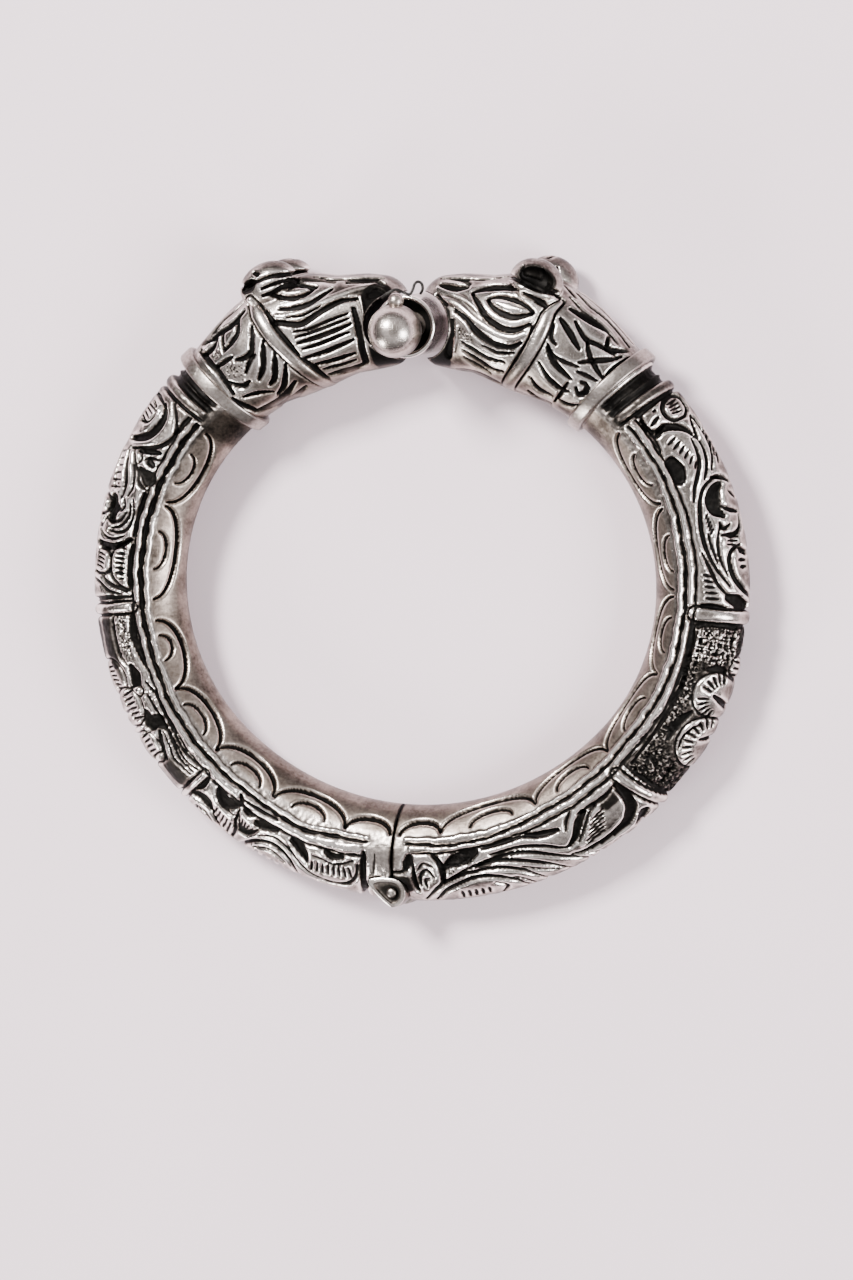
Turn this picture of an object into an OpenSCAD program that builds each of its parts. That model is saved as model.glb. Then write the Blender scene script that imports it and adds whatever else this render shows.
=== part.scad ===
// Hinged kada bangle: an oval band of cast silver relief with two lion heads,
// a hinge at the bottom and a ball screw clasp between the open jaws.
// The origin is the centre of the wrist opening. +Z is the side that faces up when the
// bangle lies flat, +Y points to the clasp and -Y to the hinge.

/* [Band] */
// Wrist opening across, along X
opening_w = 63.6; // [60:0.1:67]
// Wrist opening from hinge to clasp, along Y
opening_h = 57.0; // [54:0.1:60]
// Depth of the band, from wrist to outside
band_depth = 12.4; // [11.6:0.1:13]
// Height of the band, along the wrist
band_height = 9.1; // [8.4:0.1:9.6]
// Depth of the ground behind the relief
ground_depth = 0.5; // [0.3:0.05:0.7]
// Height of the twin border ribs
rib_h = 0.4; // [0.2:0.05:0.6]
// Gap where the two halves meet at the hinge
split_gap = 0.35; // [0.25:0.05:0.6]

/* [Collars and heads] */
// Width of the polished collar behind a head
collar_w = 2.4; // [1.8:0.1:2.8]
// How far that collar stands proud of the band
collar_proud = 0.9; // [0.5:0.1:1.2]
// Half width of a head at the cheeks
cheek_w = 6.4; // [5.6:0.1:6.8]
// Joint line between a head and its band
joint_gap = 0.06; // [0.04:0.01:0.12]

/* [Hinge] */
// Radius of the hinge knuckles
knuckle_r = 1.9; // [1.7:0.05:2]
// Radius of the hinge pin
pin_r = 0.7; // [0.5:0.05:0.8]
// Half length of the knuckle row
knuckle_half = 3.7; // [3.2:0.1:3.9]
// Running fit of the pin in the knuckles, on the radius
pin_fit = 0.05; // [0.03:0.01:0.1]

/* [Clasp] */
// Outer radius of the clasp barrel
barrel_r = 4.0; // [3.8:0.05:4.1]
// Height of the barrel rim over the middle of the band
barrel_top = 5.6; // [5.2:0.1:6]
// Radius of the polished ball
ball_r = 3.45; // [3:0.05:3.6]
// Radius of the screw under the ball
screw_r = 0.9; // [0.7:0.05:1]

/* [Hidden] */
$fn = 72;

// Oval centre line: side arcs and end arcs that meet at 45 degrees
axis_x = (opening_w + band_depth) / 2;
axis_y = (opening_h + band_depth) / 2;
corner = (axis_x - axis_y) / (2 - sqrt(2));
ARC_AT = [90, 135, 225, 315, 405, 450];
ARC_R = [axis_y + corner, axis_x - corner, axis_y + corner, axis_x - corner, axis_y + corner];

// Band section: a superellipse, fuller than a lens and leaner than a box
half_d = band_depth / 2;
half_h = band_height / 2;
section_pow = 2 / 1.8;
t_relief = 92;          // section angle where the relief ends
t_ribs = [96, 99, 101, 104, 107, 109, 112]; // foot, crest, crest, groove, crest, crest, foot
v_rib = 8.6;            // distance from the outer edge to the ribs, along the section

// Places along the ring, as the angle of the outward normal
reach = 40;             // longer than anything that is cut
plate_span = 3.2;       // plain end plates at the hinge, degrees
collar_at = 39.2;       // centre of a head's collar, degrees from the clasp line
collar_slant = 7.4;     // the collar leans away from the normal
neck_ring_gap = 1.5;    // groove between the collar and the narrow ring
neck_ring_w = 1.4;
neck_ring_proud = 0.25;
neck_over = 4;          // degrees that the band runs on before it is cut at the collar

// Hinge: two knuckles on the left half, one between them on the right half
hinge_at = 265.8;
hinge_out = 5.1;        // hinge axis outside the centre line
knuckle_gap = 0.15;     // between neighbouring knuckles
middle_knuckle = 2.3;   // length of the right half's knuckle
outer_knuckle = middle_knuckle / 2 + knuckle_gap;
web_in = 3.6;           // the webs reach this far inward of the hinge axis
web_out = 0.6;          // this far outward
web_back = 3.0;         // and this far back into the band
pin_head = 0.4;         // thickness of the peened heads of the pin
pin_gap = 0.05;         // between those heads and the knuckles

// Clasp line: x and y of the barrel and screw axis
clasp = [0.1, 33.5];
mouth_r = barrel_r + 0.25;
mouth_back = 1.4;       // how much further back the open mouth reaches
tongue_t = 1.8;
tongue_w = 4.6;
tongue_past = 2.2;      // the tongue ends this far past the screw axis
tongue_fit = 0.3;       // room above and below the tongue in the window
slot_fit = 0.3;         // room around the screw in the tongue's fork
ball_z = barrel_top + 4.0;
lug_r = 1.1;
screw_fit = 0.06;
screw_lift = 0.1;       // the screw's tip stops this far above the barrel's foot
shoulder_gap = 0.25;    // the clamping shoulder stops this far above the tongue
shoulder_t = 0.9;
barrel_bottom = -4.6;
barrel_floor = 2.0;
barrel_wall = 0.5;
window_past = 0.6;      // the window reaches this far past the screw axis
solder_w = 3.2;
solder_h = 5;
SILVER = [0.62, 0.60, 0.58];
POLISH = [0.80, 0.79, 0.77];
DARK = [0.16, 0.15, 0.15];

function dir(a) = [cos(a), sin(a)];
function centre(k) = k == 0 ? [0, axis_y - ARC_R[0]]
                   : centre(k - 1) + (ARC_R[k - 1] - ARC_R[k]) * dir(ARC_AT[k]);
function arc_of(psi) = psi < ARC_AT[1] ? 0 : psi < ARC_AT[2] ? 1 : psi < ARC_AT[3] ? 2
                     : psi < ARC_AT[4] ? 3 : 4;
function ring_point(psi, out, z) =
    let (k = arc_of(psi), p = centre(k) + (ARC_R[k] + out) * dir(psi)) [p.x, p.y, z];

// Section point at angle t, grown by g
function power(v, e) = sign(v) * pow(abs(v), e);
function section_point(t, g = 0) =
    [(half_d + g) * power(cos(t), section_pow), (half_h + g) * power(sin(t), section_pow)];

// Point over the relief ground at v mm from the outer edge, raised by h
function relief_point(psi, v, h) =
    let (p = section_point(v / v_rib * t_relief, h - ground_depth)) ring_point(psi, p.x, p.y);

// One closed section of the band, with ribs on both faces
rib_rise = [0, rib_h, rib_h, -0.1, rib_h * 0.8, rib_h * 0.8, 0];
upper_section = concat(
    [for (t = [0 : 11.5 : 90]) section_point(t, -ground_depth)],
    [section_point(t_relief, -ground_depth)],
    [for (i = [0 : 6]) section_point(t_ribs[i], rib_rise[i])],
    [for (t = [120 : 10 : 170]) section_point(t)],
    [section_point(180)]);
band_section = concat(
    upper_section,
    [for (i = [len(upper_section) - 2 : -1 : 1]) [upper_section[i].x, -upper_section[i].y]]);

// A crescent over the relief ground only, for bands that cross it
cross_depth = 1.6;
cross_section = concat(
    [for (t = [-90 : 15 : 90]) section_point(t, 0.05)],
    [for (t = [90 : -30 : -90]) section_point(t, -cross_depth)]);

// A full outline that stands proud all round, for collars
function collar_section(g) = [for (t = [0 : 12 : 348]) section_point(t, g)];

// Sweep a section along the ring between two normal angles. The end arcs run on a little
// way inside the side arcs, a hair smaller, so that the pieces join over a real overlap.
lap = 0.7;
lap_scale = 0.996;
module ring_piece(from, to, outline) {
    for (k = [0 : 4]) {
        inner = k % 2 == 0;
        lo = max(from, ARC_AT[k] - (inner ? lap : 0));
        hi = min(to, ARC_AT[k + 1] + (inner ? lap : 0));
        s = inner ? lap_scale : 1;
        if (min(to, ARC_AT[k + 1]) > max(from, ARC_AT[k]))
            translate(centre(k))
                rotate([0, 0, lo])
                    rotate_extrude(angle = hi - lo)
                        polygon([for (p = outline) [ARC_R[k] + p.x * s, p.y * s]]);
    }
}

// A slab across the ring, leaning from the normal
module slab(psi, lean, thick) {
    translate(ring_point(psi, 0, 0))
        rotate([0, 0, psi + lean])
            cube([reach, thick, reach], center = true);
}

// Heads and bands use degrees from the clasp line, with side 1 on the left and -1 on the right
function psi_of(side, delta) = side > 0 ? 90 + delta : 450 - delta;
deg_mm = ARC_R[0] * PI / 180;   // length of a degree on the centre line near the clasp

// Band blank of one half between its hinge end and its head
module band_blank(side) {
    neck = psi_of(side, collar_at);
    step = (collar_w / 2 + neck_ring_gap + neck_ring_w / 2) / deg_mm;
    ring_at = psi_of(side, collar_at + step);
    from = side > 0 ? neck - neck_over : hinge_at;
    to = side > 0 ? hinge_at : neck + neck_over;
    cut_at = collar_w / 2 + joint_gap;
    difference() {
        union() {
            ring_piece(from, to, band_section);
            if (side > 0)
                ring_piece(hinge_at - plate_span, hinge_at, cross_section);
            else
                ring_piece(hinge_at, hinge_at + plate_span, cross_section);
            intersection() {
                ring_piece(min(ring_at, neck) - neck_over, max(ring_at, neck) + neck_over,
                           collar_section(neck_ring_proud));
                slab(ring_at, side * collar_slant, neck_ring_w);
            }
        }
        // Everything on the head's side of the collar belongs to the head
        translate(ring_point(neck, 0, 0))
            rotate([0, 0, neck + side * collar_slant])
                translate([-reach / 2, side > 0 ? cut_at - reach : -cut_at, -reach / 2])
                    cube(reach);
        // Split at the hinge and room for the knuckles
        translate(ring_point(hinge_at, 0, 0))
            rotate([0, 0, hinge_at])
                cube([reach, split_gap, reach], center = true);
        translate(ring_point(hinge_at, hinge_out, 0))
            cylinder(r = knuckle_r + knuckle_gap, h = reach, center = true);
    }
}

// Knuckle with the web that ties it to its own half
module knuckle(side, z0, z1) {
    translate(ring_point(hinge_at, hinge_out, z0))
        rotate([0, 0, hinge_at]) {
            cylinder(r = knuckle_r, h = z1 - z0);
            // The web runs back from the knuckle into its own half
            translate([-web_in, side > 0 ? -web_back : split_gap / 2, 0])
                cube([web_in + web_out, web_back - split_gap / 2, z1 - z0]);
        }
}

module knuckle_bore() {
    translate(ring_point(hinge_at, hinge_out, 0))
        cylinder(r = pin_r + pin_fit, h = reach, center = true);
}

// A raised leaf: a ridge with a sharp crest along a bowed spine. A leaf is placed by the
// angle along the ring and by v, the distance from the band's outer edge. Columns of a row:
// start angle, start v, end angle, end v, bow of the spine in mm, width in mm
LEAF_STEPS = 5;
leaf_root = -0.3;       // the leaf starts this far below the ground
leaf_top = 0.52;        // and rises this far above it
petal_top = 0.7;
out_deg = 0.75;         // length of a degree near the outer edge
function leaf_spine(row, s) =
    let (u = row[0] + (row[2] - row[0]) * s, v = row[1] + (row[3] - row[1]) * s)
    [u, v + 4 * row[4] * s * (1 - s)];
function leaf_side(row, s) =
    let (a = leaf_spine(row, max(0, s - 0.05)), b = leaf_spine(row, min(1, s + 0.05)),
         d = [(b.x - a.x) * out_deg, b.y - a.y], n = norm(d))
    [-d.y / n / out_deg, d.x / n];
function leaf_width(row, s) = row[5] / 2 * (0.3 + 0.7 * sin(180 * (0.12 + 0.76 * s)));
module leaf(row, mirror_z, top = leaf_top) {
    pts = [for (i = [0 : LEAF_STEPS])
        let (s = i / LEAF_STEPS, c = leaf_spine(row, s), n = leaf_side(row, s),
             w = leaf_width(row, s))
        each [relief_point(c.x - n.x * w, mirror_z * (c.y - n.y * w), leaf_root),
              relief_point(c.x - n.x * w * 0.8, mirror_z * (c.y - n.y * w * 0.8), top * 0.6),
              relief_point(c.x + n.x * w * 0.15, mirror_z * (c.y + n.y * w * 0.15), top),
              relief_point(c.x + n.x * w, mirror_z * (c.y + n.y * w), leaf_root)]];
    tube(pts, 4, LEAF_STEPS, mirror_z < 0);
}

// Closed tube through rings of n points
module tube(pts, n, steps, flip = false) {
    last = steps * n;
    sides = [for (i = [0 : steps - 1]) for (j = [0 : n - 1])
        let (a = i * n + j, b = i * n + (j + 1) % n) each [[a, b, b + n], [a, b + n, a + n]]];
    ends = [[for (j = [n - 1 : -1 : 0]) j], [for (j = [0 : n - 1]) last + j]];
    faces = concat(sides, ends);
    polyhedron(pts, flip ? [for (f = faces) [for (i = [len(f) - 1 : -1 : 0]) f[i]]] : faces);
}

// Leaves of the left half, read from the collar down to the hinge
LEAVES_LEFT = [
    [139.0, 3.6, 144.5, 7.0, 1.0, 1.9],
    [144.0, 7.1, 151.0, 3.0, 0.4, 1.8],
    [150.0, 3.0, 159.5, 7.4, -0.6, 1.8],
    [140.8, 3.0, 146.6, 2.8, 0.4, 2.8],
    [153.0, 1.8, 161.5, 3.8, 0.2, 2.4],
    [148.5, 7.6, 152.5, 5.2, -0.4, 1.0],
    [167.0, 1.8, 168.0, 6.9, 0.0, 2.6],
    [168.0, 7.2, 161.5, 6.6, 0.5, 1.3],
    [170.0, 7.4, 181.0, 7.4, -1.3, 2.0],
    [172.8, 2.2, 177.8, 4.2, 0.0, 1.8],
    [176.5, 1.8, 181.8, 7.0, -0.8, 1.3],
    [229.0, 5.6, 235.5, 1.8, 0.2, 2.6],
    [237.2, 3.4, 237.6, 6.6, 0.0, 2.8],
    [238.5, 0.9, 249.0, 2.4, 1.4, 2.6],
    [240.0, 5.4, 247.5, 5.6, 0.6, 1.2],
    [248.0, 5.4, 252.0, 2.4, -0.2, 1.2],
    [250.5, 5.2, 258.5, 5.0, -1.5, 2.8],
    [258.2, 2.4, 259.6, 6.6, 0.2, 1.1]];

// Leaves of the right half, read from the hinge up to the collar
LEAVES_RIGHT = [
    [273.2, 2.6, 270.6, 7.2, 1.0, 2.8],
    [273.5, 1.6, 290.0, 1.4, 2.6, 1.6],
    [276.0, 1.0, 286.0, 1.2, 1.4, 2.2],
    [275.5, 4.6, 283.0, 7.6, 0.2, 0.9],
    [281.5, 5.4, 295.0, 0.9, 0.9, 1.5],
    [281.0, 6.6, 300.0, 2.2, 0.9, 1.5],
    [287.0, 7.5, 297.5, 5.0, 0.5, 1.5],
    [296.0, 3.8, 310.2, 5.2, -0.7, 3.2],
    [297.6, 5.2, 302.0, 8.0, 0.0, 1.3],
    [357.4, 5.2, 366.0, 6.8, 0.0, 2.2],
    [358.4, 1.2, 374.0, 6.9, 1.2, 1.8],
    [360.0, 0.6, 366.6, 2.0, 0.5, 2.2],
    [364.0, 3.9, 374.5, 4.6, 0.7, 1.3],
    [370.2, 3.4, 374.8, 2.4, -1.2, 1.7],
    [374.0, 6.9, 384.5, 3.2, 0.8, 1.8],
    [377.0, 0.8, 381.6, 3.4, -0.3, 1.6],
    [384.0, 2.4, 395.5, 1.2, -0.7, 1.5],
    [383.2, 6.6, 395.0, 6.6, -2.3, 2.4],
    [395.8, 2.0, 400.0, 3.4, 0.0, 1.6],
    [400.4, 4.2, 397.2, 7.0, 0.0, 2.0]];

// Flowers: angle along the ring, angle of the first petal, petals all round
FLOWERS = [[207.0, 90, 6], [334.4, 58, 6]];
petal_from = 0.9;
petal_to = 5.7;
petal_w = 4.2;
boss_r = 1.1;
module flower(row) {
    for (i = [0 : row[2] - 1]) {
        a = row[1] + i * 360 / row[2];
        along = cos(a) / out_deg;
        leaf([row[0] + petal_from * along, petal_from * sin(a),
              row[0] + petal_to * along, petal_to * sin(a), 0, petal_w], 1, petal_top);
    }
    translate(relief_point(row[0], 0, 0))
        sphere(r = boss_r, $fn = 24);
}

// Cross bands: first and last angle of each
CROSS_LEFT = [[183.4, 186.6], [225.8, 228.2]];
CROSS_RIGHT = [[311.8, 314.8], [353.0, 356.0]];

module band_left() {
    color(SILVER)
    difference() {
        union() {
            band_blank(1);
            for (c = CROSS_LEFT)
                ring_piece(c[0], c[1], cross_section);
            for (row = LEAVES_LEFT, m = [-1, 1])
                leaf(row, m);
            flower(FLOWERS[0]);
            for (m = [-1, 1])
                knuckle(1, m > 0 ? outer_knuckle : -knuckle_half, m > 0 ? knuckle_half : -outer_knuckle);
        }
        knuckle_bore();
    }
}

module band_right() {
    color(SILVER)
    difference() {
        union() {
            band_blank(-1);
            for (c = CROSS_RIGHT)
                ring_piece(c[0], c[1], cross_section);
            for (row = LEAVES_RIGHT, m = [-1, 1])
                leaf(row, m);
            flower(FLOWERS[1]);
            knuckle(-1, -middle_knuckle / 2, middle_knuckle / 2);
        }
        knuckle_bore();
    }
}

// Head sections from the collar to the lips. Columns: degrees from the clasp line, inner
// edge and outer edge in mm from the centre line, half width as a share of the cheek's
HEAD = [
    [40.5, -5.6, 5.6, 0.72],
    [38.0, -6.2, 6.4, 0.84],
    [35.0, -6.3, 6.9, 0.92],
    [31.5, -6.5, 7.5, 0.98],
    [28.0, -6.9, 8.1, 1.00],
    [24.5, -7.1, 8.4, 1.00],
    [21.0, -7.1, 8.3, 1.00],
    [18.0, -6.9, 7.9, 0.98],
    [15.5, -6.7, 7.2, 0.95],
    [13.0, -6.6, 6.5, 0.90],
    [10.5, -6.6, 6.1, 0.83],
    [8.0, -6.6, 5.9, 0.75],
    [5.5, -6.5, 5.6, 0.67],
    [3.6, -6.1, 4.7, 0.56],
    [2.2, -5.3, 3.7, 0.42]];
HEAD_SIDES = 24;
head_pow = 0.9;         // a little squarer than an oval
function head_row(delta) =
    let (k = max([for (i = [0 : len(HEAD) - 2]) if (HEAD[i][0] >= delta) i]),
         s = (HEAD[k][0] - delta) / (HEAD[k][0] - HEAD[k + 1][0]))
    HEAD[k] + (HEAD[k + 1] - HEAD[k]) * s;
function head_point(side, delta, t, h) =
    let (r = head_row(delta), mid = (r[1] + r[2]) / 2, half = (r[2] - r[1]) / 2)
    ring_point(psi_of(side, delta), mid + (half + h) * power(cos(t), head_pow),
               (r[3] * cheek_w + h) * power(sin(t), head_pow));

// A raised ridge on a head. Columns of a row: start degrees, start section angle, end
// degrees, end section angle, bow in degrees of section angle, width in mm, height in mm.
// Section angle 0 is the outer edge, 90 the cheek and 180 the wrist side.
mm_t = 0.13;            // length of a degree of section angle
ridge_root = -0.4;
module ridge(side, row, mirror_z, steps = 6) {
    pts = [for (i = [0 : steps])
        let (s = i / steps,
             u = row[0] + (row[2] - row[0]) * s,
             t = row[1] + (row[3] - row[1]) * s + 4 * row[4] * s * (1 - s),
             slope = row[3] - row[1] + 4 * row[4] * (1 - 2 * s),
             d = [(row[2] - row[0]) * deg_mm, slope * mm_t], n = norm(d),
             w = row[5] / 2 * (0.45 + 0.55 * sin(180 * s)),
             side_u = -d.y / n * w / deg_mm, side_t = d.x / n * w / mm_t)
        each [head_point(side, u - side_u, mirror_z * (t - side_t), ridge_root),
              head_point(side, u - side_u * 0.5, mirror_z * (t - side_t * 0.5), row[6]),
              head_point(side, u + side_u * 0.5, mirror_z * (t + side_t * 0.5), row[6]),
              head_point(side, u + side_u, mirror_z * (t + side_t), ridge_root)]];
    tube(pts, 4, steps, side * mirror_z < 0);
}

// Cheek strap, brow, eye, upper lip, whisker ridges and mane locks
RIDGES = [
    [26.5, 42, 18.5, 150, 8, 1.5, 0.55],
    [26.0, 40, 13.0, 42, -13, 1.1, 0.6],
    [21.5, 50, 15.5, 48, 2, 1.5, 0.55],
    [23.5, 62, 8.5, 62, 18, 1.4, 0.6],
    [8.6, 60, 4.2, 50, 0, 1.3, 0.5],
    [19.0, 92, 9.6, 82, 6, 1.1, 0.45],
    [18.0, 104, 9.6, 95, 6, 1.1, 0.45],
    [17.0, 116, 9.8, 107, 6, 1.1, 0.45],
    [16.0, 128, 10.2, 119, 6, 1.1, 0.45],
    [15.0, 140, 10.6, 131, 5, 1.1, 0.45],
    [28.5, 44, 35.5, 66, 0, 1.5, 0.4],
    [28.0, 60, 36.0, 88, 0, 1.5, 0.4],
    [27.2, 78, 34.5, 108, 0, 1.5, 0.4],
    [26.0, 96, 32.5, 128, 0, 1.5, 0.4],
    [24.4, 114, 30.0, 144, 0, 1.5, 0.4],
    [30.0, 28, 36.5, 40, 0, 1.5, 0.4]];

// Round ear on each side of the crown: a ball with a hollow that opens forward and
// sideways. Columns: degrees from the clasp line, mm from the centre line, z, radius
ear_ball = [22.8, 7.9, 3.0, 2.9];
ear_hollow = [21.8, 8.5, 5.3, 1.8];
module ear_sphere(side, mirror_z, row) {
    translate(ring_point(psi_of(side, row[0]), row[1], mirror_z * row[2]))
        sphere(r = row[3], $fn = 20);
}
module ears(side) {
    for (m = [-1, 1])
        difference() {
            ear_sphere(side, m, ear_ball);
            ear_sphere(side, m, ear_hollow);
        }
}

module head(side) {
    neck = psi_of(side, collar_at);
    rows = [for (r = HEAD) for (j = [0 : HEAD_SIDES - 1])
        head_point(side, r[0], j * 360 / HEAD_SIDES, 0)];
    difference() {
        union() {
            tube(rows, HEAD_SIDES, len(HEAD) - 1, side > 0);
            intersection() {
                ring_piece(neck - neck_over, neck + neck_over, collar_section(collar_proud));
                slab(neck, side * collar_slant, collar_w);
            }
            for (row = RIDGES, m = [-1, 1])
                ridge(side, row, m);
            ears(side);
        }
        // The neck ends flush with the band side of the collar
        translate(ring_point(neck, 0, 0))
            rotate([0, 0, neck + side * collar_slant])
                translate([-reach / 2, side > 0 ? collar_w / 2 : -collar_w / 2 - reach, -reach / 2])
                    cube(reach);
        // Open mouth around the barrel
        for (back = [0, mouth_back])
            translate([clasp.x - side * back, clasp.y, 0])
                cylinder(r = mouth_r, h = reach, center = true);
        translate([clasp.x - side * mouth_back / 2, clasp.y, 0])
            cube([mouth_back, mouth_r * 2, reach], center = true);
    }
}

// The left head's tongue is a fork that the screw clamps inside the barrel
module tongue() {
    root = clasp.x - mouth_r - mouth_back - 1.5;
    difference() {
        translate([root, clasp.y - tongue_w / 2, -tongue_t / 2])
            cube([clasp.x + tongue_past - root, tongue_w, tongue_t]);
        translate([clasp.x, clasp.y, -tongue_t])
            cylinder(r = screw_r + slot_fit, h = tongue_t * 2);
        translate([clasp.x, clasp.y - screw_r - slot_fit - 0.1, -tongue_t])
            cube([tongue_past + 1, screw_r * 2 + slot_fit * 2, tongue_t * 2]);
    }
}

module lion_head_left() {
    color(SILVER)
    union() {
        head(1);
        tongue();
    }
}

// Barrel soldered between the right head's jaws, with a window where the tongue comes in
module barrel() {
    solder_len = mouth_r + mouth_back - barrel_r + 2;
    translate([clasp.x, clasp.y, 0])
        difference() {
            union() {
                translate([0, 0, barrel_bottom])
                    cylinder(r = barrel_r, h = barrel_top - barrel_bottom);
                translate([barrel_r - 1, -solder_w / 2, -solder_h / 2])
                    cube([solder_len, solder_w, solder_h]);
            }
            translate([0, 0, barrel_bottom + barrel_floor])
                cylinder(r = barrel_r - barrel_wall, h = 20);
            translate([0, 0, barrel_bottom - 1])
                cylinder(r = screw_r + screw_fit, h = barrel_floor + 2);
            translate([-barrel_r - 1, -barrel_r, -tongue_t / 2 - tongue_fit])
                cube([barrel_r + 1 + window_past, barrel_r * 2, tongue_t + tongue_fit * 2]);
        }
}

module lion_head_right() {
    color(SILVER)
    union() {
        head(-1);
        barrel();
    }
}

// Screw with a clamping shoulder and a polished ball for a head
module ball_screw() {
    color(POLISH)
    translate([clasp.x, clasp.y, 0]) {
        translate([0, 0, barrel_bottom + screw_lift])
            cylinder(r = screw_r, h = ball_z - barrel_bottom - screw_lift);
        translate([0, 0, tongue_t / 2 + shoulder_gap])
            cylinder(r = screw_r * 2, h = shoulder_t);
        translate([0, 0, barrel_top - 1])
            cylinder(r = screw_r * 1.6, h = ball_z - barrel_top);
        translate([0, 0, ball_z])
            sphere(r = ball_r);
        // Lug on the ball that the keeper wire is wound over
        translate([0.2, ball_r + 0.1, ball_z])
            sphere(r = lug_r, $fn = 32);
    }
}

// Thin wire over the lug, with a small open loop towards the right head's lip
wire_r = 0.19;
WIRE = [[-1.6, 3.9, 0.3], [-0.7, 4.5, 0.5], [0.3, 4.95, 0.3], [1.2, 4.6, 0], [1.9, 4.3, -0.4],
        [2.3, 4.9, -0.6], [2.5, 5.6, -0.8], [2.9, 5.9, -1.0], [3.3, 5.6, -1.3], [3.3, 4.9, -1.6],
        [2.9, 4.3, -1.9]];
module keeper_wire() {
    n = 6;
    pts = [for (i = [0 : len(WIRE) - 1])
        let (a = WIRE[max(0, i - 1)], b = WIRE[min(len(WIRE) - 1, i + 1)],
             d = (b - a) / norm(b - a), s = cross(d, [0, 0, 1]), u = s / norm(s), w = cross(u, d))
        for (j = [0 : n - 1])
            [clasp.x, clasp.y, ball_z] + WIRE[i]
                + wire_r * (cos(j * 360 / n) * u + sin(j * 360 / n) * w)];
    color(DARK)
    tube(pts, n, len(WIRE) - 1);
}

module hinge_pin() {
    color(POLISH)
    translate(ring_point(hinge_at, hinge_out, 0)) {
        cylinder(r = pin_r, h = (knuckle_half + pin_head) * 2, center = true);
        for (m = [-1, 1])
            translate([0, 0, m * (knuckle_half + pin_gap + pin_head / 2)])
                cylinder(r = pin_r * 1.6, h = pin_head, center = true);
    }
}

band_left();
band_right();
lion_head_left();
lion_head_right();
ball_screw();
keeper_wire();
hinge_pin();
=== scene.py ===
"""Scene of a hinged kada bangle: cast relief bands, two lion heads and a ball screw clasp.

Tables and shapes are in millimetres and degrees and become metres when a piece is made.
psi runs round the ring from the clasp at 90, down the left half to the hinge near 266, and
up the right half to 450. delta is the angle from the clasp line along a head, rho is the
distance outside the ring's centre line, and v is the length along the band's section from
its outer middle line.
"""
import math
import bpy
import bmesh
import numpy as np
from mathutils import Matrix, Vector


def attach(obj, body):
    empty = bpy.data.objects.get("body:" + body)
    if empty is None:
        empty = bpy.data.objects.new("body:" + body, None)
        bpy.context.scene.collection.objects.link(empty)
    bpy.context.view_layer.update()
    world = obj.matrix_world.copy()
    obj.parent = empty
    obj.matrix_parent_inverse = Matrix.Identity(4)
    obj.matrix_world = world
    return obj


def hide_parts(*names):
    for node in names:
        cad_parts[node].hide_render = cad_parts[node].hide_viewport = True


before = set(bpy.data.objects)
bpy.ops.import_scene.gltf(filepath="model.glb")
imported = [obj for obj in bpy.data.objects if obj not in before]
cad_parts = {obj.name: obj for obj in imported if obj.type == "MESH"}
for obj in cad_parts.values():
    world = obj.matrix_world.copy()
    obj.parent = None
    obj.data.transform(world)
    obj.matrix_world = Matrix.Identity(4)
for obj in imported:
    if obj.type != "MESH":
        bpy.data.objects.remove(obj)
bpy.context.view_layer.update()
MM = 0.001
LEFT, RIGHT = 1, -1

# The ring's centre line, an oval of five arcs
HALF_WIDTH, HALF_HEIGHT = 38.0, 34.7
CORNER = (HALF_WIDTH - HALF_HEIGHT) / (2 - math.sqrt(2))
WIDE_R, TIGHT_R = HALF_HEIGHT + CORNER, HALF_WIDTH - CORNER
ARC_AT = (90, 135, 225, 315, 405, 450)
ARC_R = np.array((WIDE_R, TIGHT_R, WIDE_R, TIGHT_R, WIDE_R))
ARC_C = np.array(((0, -CORNER), (-CORNER, 0), (0, CORNER), (CORNER, 0), (0, -CORNER)))

# The band's section, and the rho at which lengths along the relief are measured
BAND_OUT, BAND_UP, BAND_POWER = 6.2, 4.55, 2 / 1.8
RELIEF_RHO = 4.0

# Hinge, collars and clasp
HINGE_PSI, HINGE_OUT = 265.8, 5.1
HINGE = (-3.3275, -39.678)
SPLIT_GAP = 0.18
COLLAR_AT, COLLAR_LEAN, COLLAR_HALF = 40.3, 7.4, 0.92
CLASP = (0.1, 33.5)
BALL_Z = 9.6


def arc_number(psi):
    return np.clip(np.searchsorted(ARC_AT, psi, side="right") - 1, 0, 4)


def ring_xy(psi, out):
    """Place of a point at an angle round the ring and a distance outside the centre line."""
    k = arc_number(psi)
    reach, turn = ARC_R[k] + out, np.radians(psi)
    return ARC_C[k, 0] + reach * np.cos(turn), ARC_C[k, 1] + reach * np.sin(turn)


def span(psi):
    """Millimetres round the relief from psi 90."""
    runs = np.concatenate(([0], np.cumsum((ARC_R + RELIEF_RHO) * np.diff(ARC_AT))))
    return np.interp(psi, ARC_AT, runs * math.pi / 180)


def psi_of(side, delta):
    return 90 + delta if side == LEFT else 450 - delta


def lean_deg(out, side):
    """How far a leaning collar's plane runs round the ring, in degrees, at a place across it."""
    return side * np.degrees(out * math.tan(math.radians(COLLAR_LEAN)) / (WIDE_R + out))


def signed_power(value, power):
    return np.sign(value) * np.abs(value) ** power


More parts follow.
